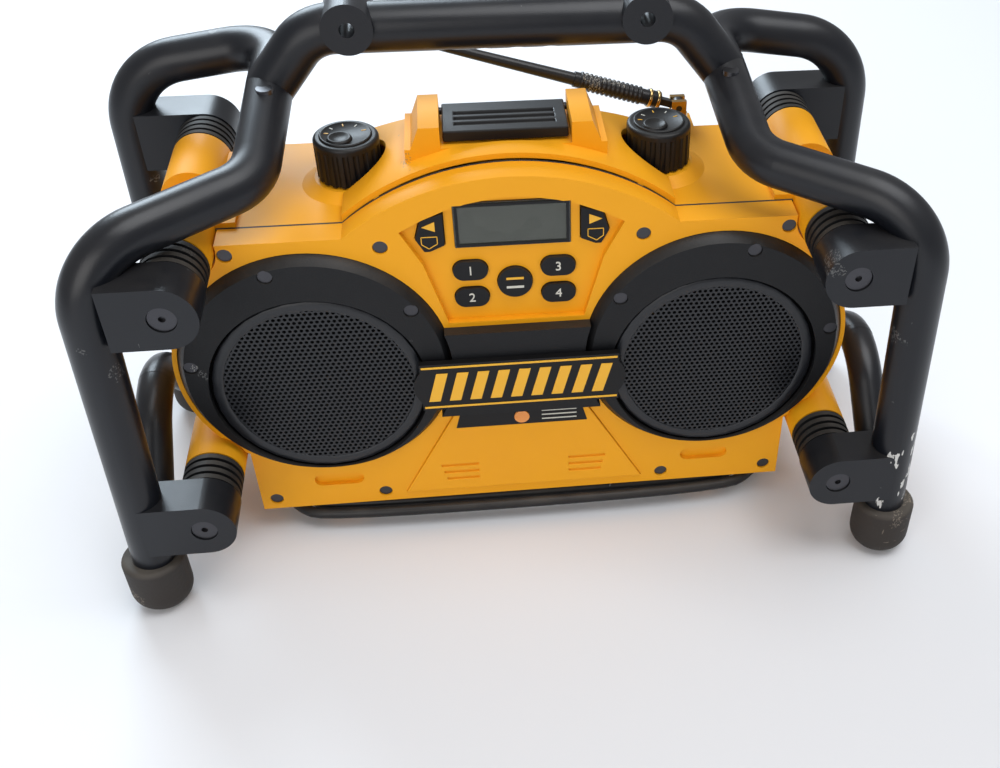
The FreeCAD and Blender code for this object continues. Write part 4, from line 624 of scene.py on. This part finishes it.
class Bench:
    """Small steps of modelling by hand, shared by the sub-assemblies."""

    LATHE_STEPS = 32
    LATHE_MERGE = 0.000002

    def __init__(self, finishes: dict[str, bpy.types.Material]) -> None:
        """Keep the finished materials.

        Args:
            finishes: the finished materials by name.
        """
        self.finishes = finishes

    @staticmethod
    def clear() -> None:
        """Deselect everything."""
        bpy.ops.object.select_all(action="DESELECT")

    def settle(
        self, name: str, finish: str, body: str, slot: str
    ) -> bpy.types.Object:
        """Name the active piece, put its place into its mesh, dress it and fasten it.

        Args:
            name: the piece's name.
            finish: a key of the finishes.
            body: the body that it rides on.
            slot: the record's material slot; not used.

        Returns:
            The piece.
        """
        piece = bpy.context.object
        piece.name = name
        bpy.ops.object.transform_apply(location=True, rotation=True, scale=True)
        piece.data.materials.clear()
        piece.data.materials.append(self.finishes[finish])
        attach(piece, body)
        return piece

    @staticmethod
    def extrude(depth: float) -> None:
        """Extrude what is selected along Y, in edit mode.

        Args:
            depth: how far it goes back.
        """
        bpy.ops.mesh.extrude_region_move(
            TRANSFORM_OT_translate={"value": (0, depth, 0)}
        )

    def plate(self, corners: list[Point], depth: float, bevel: float = 0.0002) -> None:
        """Make a thin plate from a flat outline that faces the front.

        Args:
            corners: the outline's points, in order.
            depth: how far it goes back, along +Y.
            bevel: the width of its rounded edges.
        """
        self.clear()
        bpy.ops.mesh.primitive_circle_add(
            vertices=len(corners), fill_type="NGON", radius=1
        )
        piece = bpy.context.object
        for vertex, corner in zip(piece.data.vertices, corners):
            vertex.co = corner
        bpy.ops.object.mode_set(mode="EDIT")
        bpy.ops.mesh.select_all(action="SELECT")
        self.extrude(depth)
        bpy.ops.mesh.select_all(action="SELECT")
        bpy.ops.mesh.normals_make_consistent(inside=False)
        bpy.ops.object.mode_set(mode="OBJECT")
        if bevel:
            round_off = piece.modifiers.new("edges", "BEVEL")
            round_off.width = bevel
            round_off.segments = 2
            bpy.ops.object.modifier_apply(modifier="edges")

    def turned(
        self, profile: Profile, place: Point, way: Vector = Vector((0, 0, 1))
    ) -> None:
        """Turn an outline round an axis, as on a lathe.

        Args:
            profile: radius and height of each point. It is closed unless it
                starts on the axis.
            place: where the axis starts.
            way: the direction of the axis.
        """
        self.clear()
        mesh = bpy.data.meshes.new("turned")
        points = [(radius, 0, height) for radius, height in profile]
        edges = [(index, index + 1) for index in range(len(points) - 1)]
        if profile[0][0] > 0:
            edges.append((len(points) - 1, 0))
        mesh.from_pydata(points, edges, [])
        piece = bpy.data.objects.new("turned", mesh)
        bpy.context.collection.objects.link(piece)
        bpy.context.view_layer.objects.active = piece
        piece.select_set(True)
        lathe = piece.modifiers.new("lathe", "SCREW")
        lathe.steps = lathe.render_steps = self.LATHE_STEPS
        lathe.use_merge_vertices = True
        lathe.merge_threshold = self.LATHE_MERGE
        bpy.ops.object.modifier_apply(modifier="lathe")
        bpy.ops.object.mode_set(mode="EDIT")
        bpy.ops.mesh.select_all(action="SELECT")
        bpy.ops.mesh.normals_make_consistent(inside=False)
        bpy.ops.object.mode_set(mode="OBJECT")
        bpy.ops.object.shade_auto_smooth(angle=SMOOTH_ANGLE)
        piece.location = place
        piece.rotation_euler = way.to_track_quat("Z", "Y").to_euler()

    def figure(self, text: str, centre: Point, size: float, depth: float) -> None:
        """Make a raised character that faces the front.

        Args:
            text: the character.
            centre: where its middle is.
            size: its height.
            depth: how thick it is.
        """
        self.clear()
        bpy.ops.object.text_add(location=centre, rotation=FACING_FRONT)
        letter = bpy.context.object
        letter.data.body = text
        letter.data.size = size
        letter.data.extrude = depth
        letter.data.align_x = "CENTER"
        letter.data.align_y = "CENTER"
        bpy.ops.object.convert(target="MESH")


def box_corners(half: float, y: float, middle: float, rise: float) -> list[Point]:
    """List the corners of an upright rectangle that is centred on X = 0.

    Args:
        half: half its width.
        y: where it stands.
        middle: its middle height.
        rise: half its height.

    Returns:
        Its four corners, in order.
    """
    low, high = middle - rise, middle + rise
    return [(-half, y, high), (half, y, high), (half, y, low), (-half, y, low)]


@dataclass
class Face:
    """The badge's bars, the display's frame and the marks on the keys."""

    bench: Bench
    key_face: float = -0.0412
    number_lift: float = 0.0001
    mark_lift: float = 0.0002
    mark_depth: float = 0.0003
    number_size: float = 0.0078
    arrow_middle: float = 0.0445
    arrow_half: float = 0.0035
    arrow_heights: Point = (0.2185, 0.2125, 0.2155)
    stroke_half: float = 0.00022
    mode_heights: tuple[float, float] = (0.1803, 0.1747)
    mode_half: float = 0.0048
    mode_rise: float = 0.0007
    badge_front: float = -0.0549
    badge_lines: tuple[float, float] = (0.1318, 0.1032)
    badge_half: float = 0.056
    line_rise: float = 0.0006
    line_depth: float = 0.0006
    fine_bevel: float = 0.0001
    bar_count: int = 9
    bar_pitch: float = 0.0118
    bar_heights: tuple[float, float] = (0.1275, 0.1075)
    bar_lean: float = 0.0028
    bar_half: float = 0.0033
    bar_depth: float = 0.0009
    frame_place: Point = (0, -0.0402, 0.2145)
    frame_size: Point = (0.0608, 0.0258, 1)
    frame_width: float = 0.0016
    frame_proud: float = 0.0005
    strip_front: float = -0.0449
    strip_heights: tuple[float, float] = (0.0905, 0.0775)
    strip_halves: tuple[float, float] = (0.036, 0.0395)
    strip_depth: float = 0.0005
    print_count: int = 3
    print_ends: tuple[float, float] = (0.012, 0.033)
    print_top: float = 0.0872
    print_pitch: float = 0.0032
    print_half: float = 0.0004
    key_places: dict[str, tuple[float, float]] = field(
        default_factory=lambda: {
            "1": (-0.024, 0.1865),
            "2": (-0.024, 0.169),
            "3": (0.024, 0.1865),
            "4": (0.024, 0.169),
        }
    )
    outline: tuple[tuple[float, float], ...] = (
        (-0.0042, 0.2094),
        (0.0042, 0.2094),
        (0.0042, 0.205),
        (0.0005, 0.2022),
        (-0.0042, 0.205),
    )

    def numbers(self) -> None:
        """Put a plain number on each preset key."""
        y = self.key_face - self.number_lift
        for text, (x, z) in self.key_places.items():
            self.bench.figure(text, (x, y, z), self.number_size, self.mark_depth)
            name, body = f"key_number_{text}", f"preset_key_{text}"
            self.bench.settle(name, "mark", body, "control_metal")

    def arrow(self, side: str, sign: int) -> None:
        """Put a filled arrow that points outwards on a tuning key.

        Args:
            side: left or right.
            sign: -1 or 1.
        """
        y = self.key_face - self.mark_lift
        middle = sign * self.arrow_middle
        back = middle - sign * self.arrow_half
        point = middle + sign * self.arrow_half
        top, foot, tip = self.arrow_heights
        corners = [(back, y, top), (back, y, foot), (point, y, tip)]
        self.bench.plate(corners, self.mark_depth, 0.0)
        name, body = f"{side}_tuning_arrow", f"{side}_tuning_key"
        self.bench.settle(name, "yellow", body, "lens_plastic")

    def outlines(self, side: str, sign: int) -> None:
        """Draw the five strokes of the shape under an arrow.

        Args:
            side: left or right.
            sign: -1 or 1.
        """
        y = self.key_face - self.mark_lift
        middle = sign * self.arrow_middle
        corners = [Vector((middle + sign * x, y, z)) for x, z in self.outline]
        for number, (a, b) in enumerate(zip(corners, corners[1:] + corners[:1])):
            normal = (b - a).cross(Vector((0, 1, 0))).normalized()
            across = normal * self.stroke_half
            stroke = [tuple(p) for p in (a + across, b + across, b - across, a - across)]
            self.bench.plate(stroke, self.mark_depth, 0.0)
            name, body = f"{side}_tuning_line_{number}", f"{side}_tuning_key"
            self.bench.settle(name, "yellow", body, "lens_plastic")

    def tuning_marks(self) -> None:
        """Put an arrow and an outlined shape on each tuning key."""
        for side, sign in SIDES:
            self.arrow(side, sign)
            self.outlines(side, sign)

    def mode_mark(self) -> None:
        """Put two short plain bars on the round key."""
        y = self.key_face - self.mark_lift
        looks = (("upper", "yellow"), ("lower", "mark"))
        for (name, finish), z in zip(looks, self.mode_heights):
            bar = box_corners(self.mode_half, y, z, self.mode_rise)
            self.bench.plate(bar, self.mark_depth, 0.0)
            self.bench.settle(f"mode_bar_{name}", finish, "mode_key", "lens_plastic")

    def badge_bars(self) -> None:
        """Fill the badge with plain raised bars between two thin lines."""
        y = self.badge_front
        for name, z in zip(("top", "foot"), self.badge_lines):
            line = box_corners(self.badge_half, y, z, self.line_rise)
            self.bench.plate(line, self.line_depth, self.fine_bevel)
            self.bench.settle(f"badge_line_{name}", "yellow", "radio", "lens_plastic")
        high, low = self.bar_heights
        lean, half = self.bar_lean, self.bar_half
        for number in range(self.bar_count):
            x = (number - self.bar_count // 2) * self.bar_pitch
            bar = [(x - half + lean, y, high), (x + half + lean, y, high)]
            bar += [(x + half - lean, y, low), (x - half - lean, y, low)]
            self.bench.plate(bar, self.bar_depth)
            self.bench.settle(f"badge_bar_{number}", "yellow", "radio", "lens_plastic")

    def display_frame(self) -> None:
        """Frame the display with a thin black lip, inset and raised by hand."""
        self.bench.clear()
        bpy.ops.mesh.primitive_plane_add(
            size=1, location=self.frame_place, rotation=FACING_FRONT
        )
        bpy.context.object.scale = self.frame_size
        bpy.ops.object.transform_apply(location=True, rotation=True, scale=True)
        bpy.ops.object.mode_set(mode="EDIT")
        bpy.ops.mesh.select_all(action="SELECT")
        bpy.ops.mesh.inset(thickness=self.frame_width)
        bpy.ops.mesh.delete(type="FACE")
        bpy.ops.mesh.select_all(action="SELECT")
        self.bench.extrude(-self.frame_proud)
        bpy.ops.mesh.select_all(action="SELECT")
        bpy.ops.mesh.normals_make_consistent(inside=False)
        bpy.ops.object.mode_set(mode="OBJECT")
        self.bench.settle("display_frame", "trim", "radio", "ring_plastic")

    def charge_strip(self) -> None:
        """Put the black strip with its printed lines around the charge light."""
        y = self.strip_front
        (high, low), (upper, lower) = self.strip_heights, self.strip_halves
        strip = [(-upper, y, high), (upper, y, high), (lower, y, low), (-lower, y, low)]
        self.bench.plate(strip, self.strip_depth, self.fine_bevel)
        self.bench.settle("charge_strip", "badge", "radio", "badge_plastic")
        y -= self.mark_lift
        start, end = self.print_ends
        for number in range(self.print_count):
            z = self.print_top - number * self.print_pitch
            top, foot = z + self.print_half, z - self.print_half
            line = [(start, y, top), (end, y, top), (end, y, foot), (start, y, foot)]
            self.bench.plate(line, self.mark_depth, 0.0)
            name = f"charge_strip_line_{number}"
            self.bench.settle(name, "mark", "radio", "control_metal")

    def build(self) -> None:
        """Build every mark and frame on the front."""
        self.numbers()
        self.tuning_marks()
        self.mode_mark()
        self.badge_bars()
        self.display_frame()
        self.charge_strip()


CAP_OUTLINE = [
    (0, 0.0004),
    (0.0125, 0.0004),
    (0.0131, 0.0009),
    (0.0137, 0.001),
    (0.0142, 0.0008),
    (0.0145, 0.0003),
    (0.0145, -0.0005),
    (0, -0.0005),
]
DISH_OUTLINE = [
    (0, 0.0002),
    (0.002, 0.0003),
    (0.004, 0.0007),
    (0.0052, 0.0014),
    (0.0058, 0.0016),
    (0.0063, 0.0014),
    (0.0068, 0.0008),
    (0.007, 0.0002),
    (0.007, -0.0002),
    (0, -0.0002),
]
MARK_OUTLINE = [
    (-0.0014, 0, 0),
    (-0.001, 0, 0.0003),
    (0.001, 0, 0.0003),
    (0.0014, 0, 0),
    (0.001, 0, -0.0003),
    (-0.001, 0, -0.0003),
]


@dataclass
class Knobs:
    """The dished caps of the two knobs and the marks around their rims."""

    bench: Bench
    across: float = 0.0865
    back: float = 0.018
    top: float = 0.24
    dish_left: float = 0.003
    dish_front: float = 0.0055
    dish_rise: float = 0.0003
    mark_circle: float = 0.0105
    mark_rise: float = 0.0006
    mark_depth: float = 0.0003
    mark_degrees: tuple[int, ...] = (20, 60, 100, 140, 172)

    def cap(self, name: str, x: float) -> None:
        """Turn a low cap with a raised lip.

        Args:
            name: the knob's name.
            x: where its axis is.
        """
        self.bench.turned(CAP_OUTLINE, (x, self.back, self.top))
        self.bench.settle(f"{name}_cap", "trim", name, "trim_plastic")

    def finger_dish(self, name: str, x: float) -> None:
        """Turn the finger dish: a soft rim round a hollow.

        Args:
            name: the knob's name.
            x: where the knob's axis is.
        """
        y, z = self.back - self.dish_front, self.top + self.dish_rise
        place = (x - self.dish_left, y, z)
        self.bench.turned(DISH_OUTLINE, place)
        self.bench.settle(f"{name}_dimple", "trim", name, "trim_plastic")

    def marks(self, name: str, x: float) -> None:
        """Place short pale strokes with pointed ends round the rear of the cap.

        Args:
            name: the knob's name.
            x: where the knob's axis is.
        """
        for number, degrees in enumerate(self.mark_degrees):
            turn = math.radians(degrees)
            self.bench.plate(MARK_OUTLINE, self.mark_depth, 0.0)
            piece = bpy.context.object
            piece.rotation_euler = (-math.pi / 2, 0, turn)
            piece.location = (
                x + self.mark_circle * math.cos(turn),
                self.back + self.mark_circle * math.sin(turn),
                self.top + self.mark_rise,
            )
            finish = "mark" if number % 2 else "yellow"
            self.bench.settle(f"{name}_mark_{number}", finish, name, "control_metal")

    def build(self) -> None:
        """Finish both knobs."""
        for name, x in (("volume_knob", -self.across), ("tuning_knob", self.across)):
            self.cap(name, x)
            self.finger_dish(name, x)
            self.marks(name, x)


@dataclass
class Antenna:
    """The ribbed grip and the brass band of the folding antenna."""

    bench: Bench
    pivot: Point = (0.107, 0.072, 0.222)
    rise: float = 17.0
    first: float = 0.024
    pitch: float = 0.0028
    ribs: int = 14
    sleeve: float = 0.0046
    rib_rise: float = 0.0007
    rib_steps: tuple[float, ...] = (0.0, 0.0006, 0.0015, 0.0021)
    grip_bore: float = 0.0036
    band: float = 0.0056
    band_bore: float = 0.0042
    band_half: float = 0.0009
    band_flat: float = 0.0005
    band_chamfer: float = 0.0003
    band_low: float = 0.0135
    band_high: float = 0.0185

    def turn(
        self, name: str, along: float, profile: Profile, finish: str, slot: str
    ) -> None:
        """Turn one piece round the antenna.

        Args:
            name: the piece's name.
            along: its distance from the fold axis.
            profile: its outline, as radius and height.
            finish: a key of the finishes.
            slot: the record's material slot.
        """
        rise = math.radians(self.rise)
        way = Vector((-math.cos(rise), 0, math.sin(rise)))
        self.bench.turned(profile, Vector(self.pivot) + way * along, way)
        self.bench.settle(name, finish, "antenna_whip", slot)

    def build(self) -> None:
        """Turn the ribbed grip and the two brass bands."""
        rib = self.sleeve + self.rib_rise
        grip = [(self.grip_bore, 0.0)]
        for number in range(self.ribs):
            start = number * self.pitch
            heights = [start + step for step in self.rib_steps]
            grip += zip((self.sleeve, rib, rib, self.sleeve), heights)
        grip.append((self.grip_bore, grip[-1][1]))
        self.turn("antenna_grip", self.first, grip, "whip", "antenna_metal")
        end, flat = self.band_half, self.band_flat
        slope = self.band - self.band_chamfer
        band = [(self.band_bore, -end), (slope, -end), (self.band, -flat)]
        band += [(self.band, flat), (slope, end), (self.band_bore, end)]
        for name, along in (("low", self.band_low), ("high", self.band_high)):
            self.turn(f"antenna_band_{name}", along, band, "brass", "antenna_brass")


@dataclass
class Grilles:
    """The punched sheets in front of the two speakers."""

    bench: Bench
    across: float = 0.114
    height: float = 0.117
    pitch: float = 0.0031
    hole: float = 0.00105
    first_inset: float = 0.00031
    reach: float = 0.0555
    rim: float = 0.0597
    rim_lap: float = 0.002
    rim_proud: float = 0.0009
    rim_lip: float = 0.0004
    rim_fall: float = 0.0006
    sheet_thick: float = 0.0005

    def cell(self) -> None:
        """Model one six-sided cell with a round hole, lying flat."""
        self.bench.clear()
        bpy.ops.mesh.primitive_circle_add(
            vertices=2 * HEXAGON, radius=self.pitch / ROOT_THREE, fill_type="NGON"
        )
        for vertex in list(bpy.context.object.data.vertices)[1::2]:
            vertex.co = vertex.co * math.cos(math.pi / HEXAGON)
        bpy.ops.object.mode_set(mode="EDIT")
        bpy.ops.mesh.select_all(action="SELECT")
        bpy.ops.mesh.inset(thickness=self.first_inset)
        bpy.ops.mesh.delete(type="ONLY_FACE")
        bpy.ops.object.mode_set(mode="OBJECT")
        for vertex in list(bpy.context.object.data.vertices)[2 * HEXAGON :]:
            vertex.co = vertex.co.normalized() * self.hole

    def sheet(self, side: str, sign: int, front: float) -> None:
        """Repeat the cell over the speaker and trim the sheet to a disc.

        Args:
            side: left or right.
            sign: -1 or 1.
            front: where the pressed grille's face is, along Y.
        """
        self.cell()
        piece = bpy.context.object
        columns = 2 * math.ceil(self.reach / self.pitch) + 1
        rows = 2 * math.ceil(self.reach / self.pitch / ROOT_THREE) + 1
        row = self.pitch * ROOT_THREE
        steps = (
            ("stagger", 2, (self.pitch / 2, row / 2, 0)),
            ("across", columns, (self.pitch, 0, 0)),
            ("up", rows, (0, row, 0)),
        )
        for name, count, offset in steps:
            repeat = piece.modifiers.new(name, "ARRAY")
            repeat.count = count
            repeat.use_relative_offset = False
            repeat.use_constant_offset = True
            repeat.constant_offset_displace = offset
            bpy.ops.object.modifier_apply(modifier=name)
        weld = piece.modifiers.new("join", "WELD")
        weld.merge_threshold = WELD_GAP
        bpy.ops.object.modifier_apply(modifier="join")
        left, low = -(columns - 1) / 2 * self.pitch, -(rows - 1) / 2 * row
        piece.location = (left, low, 0)
        bpy.ops.object.transform_apply(location=True)
        for polygon in piece.data.polygons:
            polygon.select = polygon.center.length > self.reach
        bpy.ops.object.mode_set(mode="EDIT")
        bpy.ops.mesh.select_mode(type="FACE")
        bpy.ops.mesh.delete(type="FACE")
        bpy.ops.mesh.select_mode(type="VERT")
        bpy.ops.object.mode_set(mode="OBJECT")
        thick = piece.modifiers.new("thick", "SOLIDIFY")
        thick.thickness = self.sheet_thick
        thick.offset = 1
        bpy.ops.object.modifier_apply(modifier="thick")
        piece.rotation_euler = FACING_FRONT
        piece.location = (sign * self.across, front, self.height)
        self.bench.settle(f"{side}_punched_sheet", "grille", "radio", "grille_metal")

    def edge(self, side: str, sign: int, front: float) -> None:
        """Turn the plain rim that holds the sheet's edge.

        Args:
            side: left or right.
            sign: -1 or 1.
            front: where the pressed grille's face is, along Y.
        """
        inner = self.reach - self.rim_lap
        lip, fall = self.rim_lip, self.rim_fall
        outline = [(inner, 0), (inner, fall), (inner + lip, self.rim_proud)]
        outline += [(self.rim - fall, self.rim_proud)]
        outline += [(self.rim, self.rim_proud - fall), (self.rim, 0)]
        place = (sign * self.across, front, self.height)
        self.bench.turned(outline, place, Vector((0, -1, 0)))
        self.bench.settle(f"{side}_grille_rim", "grille", "radio", "grille_metal")

    def build(self, solids: dict[str, bpy.types.Object]) -> None:
        """Build both sheets on the faces of the pressed grilles.

        Args:
            solids: the frame's nodes.
        """
        for side, sign in SIDES:
            cup = solids[f"{side}_grille"]
            front = min(vertex.co.y for vertex in cup.data.vertices)
            self.sheet(side, sign, front)
            self.edge(side, sign, front)


@dataclass
class Cord:
    """The power cord, wound on its cleats under the body."""

    bench: Bench
    radius: float = 0.0035
    height: float = 0.012
    cleat: float = 0.115
    inner: float = 0.016
    pitch: float = 0.009
    plug_room: float = 0.008
    half_turns: int = 7
    exit: Point = (-0.063, -0.019, 0.012)
    plug_end: float = -0.03
    lead: float = 0.02
    length: float = 2.304
    round_steps: int = 4
    curve_steps: int = 6
    curve_order: int = 3

    def route(self) -> list[Point]:
        """Work out the winding's control points, six round each cleat.

        Returns:
            The points, from the gland to the plug.
        """
        points = [self.exit, (self.exit[0] + self.lead, self.exit[1], self.height)]
        y, sign, radius = self.exit[1], 1, self.inner
        for number in range(self.half_turns):
            if number == self.half_turns - 1:
                radius += self.plug_room / 2
            middle = y + sign * radius
            step = math.pi / HEXAGON
            outside = radius / math.cos(step / 2)
            for index in range(HEXAGON):
                angle = (index + 0.5) * step
                x = sign * (self.cleat + outside * math.sin(angle))
                points.append((x, middle - sign * outside * math.cos(angle), self.height))
            y = middle + sign * radius
            radius += self.pitch / 2
            sign = -sign
        points.append((sign * (self.plug_end - self.lead), y, self.height))
        points.append((sign * self.plug_end, y, self.height))
        return points

    def build(self) -> None:
        self.bench.clear()
        line = bpy.data.curves.new("wound_cord", "CURVE")
        line.dimensions = "3D"
        line.bevel_depth = self.radius
        line.bevel_resolution = self.round_steps
        line.use_fill_caps = True
        line.resolution_u = self.curve_steps
        spline = line.splines.new("NURBS")
        route = self.route()
        spline.points.add(len(route) - 1)
        for point, place in zip(spline.points, route):
            point.co = (*place, 1)
        spline.order_u = self.curve_order
        spline.use_endpoint_u = True
        piece = bpy.data.objects.new("wound_cord", line)
        bpy.context.collection.objects.link(piece)
        line.materials.append(self.bench.finishes["cord"])
        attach(piece, "radio")
        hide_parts("power_cord")


# Name, place, size in metres, power in watts and colour of each lamp.
LAMPS = (
    ("window", (-0.7, 1.9, 1.35), 1.2, 46.0, (0.76, 0.89, 1.0)),
    ("ceiling", (0.5, -0.3, 2.0), 1.5, 28.0, (0.95, 0.97, 1.0)),
    ("front", (-0.9, -1.8, 1.0), 1.4, 16.0, (1.0, 0.98, 0.96)),
)


@dataclass
class Studio:
    """The camera of the photograph, a pale floor and soft light."""

    place: Point = (-0.0192, -0.5944, 0.5552)
    pitch: float = 42.2
    yaw: float = 7.7
    roll: float = 1.1
    lens: float = 43.2
    sensor: float = 36
    nearest: float = 0.01
    shift: tuple[float, float] = (-0.112, 0.064)
    aim: Point = (0, 0, 0.12)
    floor_size: float = 14
    floor_height: float = -0.0005
    floor_tone: tuple[float, ...] = (0.82, 0.82, 0.83, 1)
    floor_roughness: float = 0.7
    sky: tuple[float, ...] = (0.93, 0.95, 1.0, 1)
    sky_strength: float = 0.34

    def camera(self) -> None:
        """Set the camera where the photograph was taken."""
        data = bpy.data.cameras.new("photo_camera")
        data.lens = self.lens
        data.sensor_width = self.sensor
        data.shift_x, data.shift_y = self.shift
        data.clip_start = self.nearest
        camera = bpy.data.objects.new("photo_camera", data)
        bpy.context.collection.objects.link(camera)
        turn = Matrix.Rotation(math.radians(-self.yaw), 4, "Z")
        tilt = Matrix.Rotation(math.radians(90 - self.pitch), 4, "X")
        roll = Matrix.Rotation(math.radians(self.roll), 4, "Z")
        camera.matrix_world = Matrix.Translation(self.place) @ turn @ tilt @ roll
        bpy.context.scene.camera = camera

    def lamp(
        self, name: str, place: Point, size: float, power: float, colour: Colour
    ) -> None:
        """Hang one soft box that points at the radio.

        Args:
            name: its name.
            place: where it hangs.
            size: its width and height.
            power: its power in watts.
            colour: its colour.
        """
        data = bpy.data.lights.new(name, "AREA")
        data.shape = "SQUARE"
        data.size = size
        data.energy = power
        data.color = colour
        lamp = bpy.data.objects.new(name, data)
        bpy.context.collection.objects.link(lamp)
        lamp.location = place
        aim = Vector(self.aim) - Vector(place)
        lamp.rotation_euler = aim.to_track_quat("-Z", "Y").to_euler()

    def floor(self) -> None:
        """Lay a pale floor that holds the radio's shadow."""
        bpy.ops.object.select_all(action="DESELECT")
        bpy.ops.mesh.primitive_plane_add(
            size=self.floor_size, location=(0, 0, self.floor_height)
        )
        sheet = bpy.context.object
        sheet.name = "pale_floor"
        bpy.ops.object.transform_apply(location=True)
        material = bpy.data.materials.new("pale_floor")
        material.use_nodes = True
        shader = material.node_tree.nodes["Principled BSDF"]
        shader.inputs["Base Color"].default_value = self.floor_tone
        shader.inputs["Roughness"].default_value = self.floor_roughness
        sheet.data.materials.append(material)
        sheet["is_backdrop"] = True

    def world(self) -> None:
        """Light the room evenly and faintly."""
        world = bpy.data.worlds.new("room")
        world.use_nodes = True
        back = world.node_tree.nodes["Background"]
        back.inputs["Color"].default_value = self.sky
        back.inputs["Strength"].default_value = self.sky_strength
        bpy.context.scene.world = world
        bpy.context.scene.view_settings.view_transform = "Standard"

    def build(self) -> None:
        """Set up the whole studio."""
        self.camera()
        self.floor()
        self.world()
        for lamp in LAMPS:
            self.lamp(*lamp)


class Nodes:
    """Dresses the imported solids."""

    def __init__(self, frame: dict, finishes: dict[str, bpy.types.Material]) -> None:
        """Keep the frame's nodes and the finishes.

        Args:
            finishes: the finished materials by name.
        """
        self.solids = frame["nodes"]
        self.finishes = finishes

    def dress(self) -> None:
        """Give every node its finish."""
        for finish, names in DRESS.items():
            for name in names:
                solid = self.solids[name]
                if not solid.material_slots:
                    solid.data.materials.append(self.finishes[finish])
                for slot in solid.material_slots:
                    slot.material = self.finishes[finish]

    def round_edges(self) -> None:
        """Soften the moulded edges of the solids that show them."""
        rounded = ((n, width) for width, names in ROUNDED.items() for n in names)
        for name, width in rounded:
            solid = self.solids[name]
            weld = solid.modifiers.new("join", "WELD")
            weld.merge_threshold = WELD_GAP
            bevel = solid.modifiers.new("edges", "BEVEL")
            bevel.width = width
            bevel.segments = 2
            bevel.limit_method = "ANGLE"
            bevel.angle_limit = SMOOTH_ANGLE


def main() -> None:
    """Load the frame, build every piece and report it."""
    logging.basicConfig(level=logging.INFO)
    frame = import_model()
    studio = Studio()
    studio.build()
    kit = GroupKit()
    finishes = {name: finish.build(kit) for name, finish in FINISHES.items()}
    bench = Bench(finishes)
    Cord(bench).build()
    nodes = Nodes(frame, finishes)
    nodes.dress()
    nodes.round_edges()
    Face(bench).build()
    Knobs(bench).build()
    Antenna(bench).build()
    Grilles(bench).build(frame["nodes"])
    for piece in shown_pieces():
        LOG.info("piece %s", piece.name)


if __name__ == "__main__":
    main()
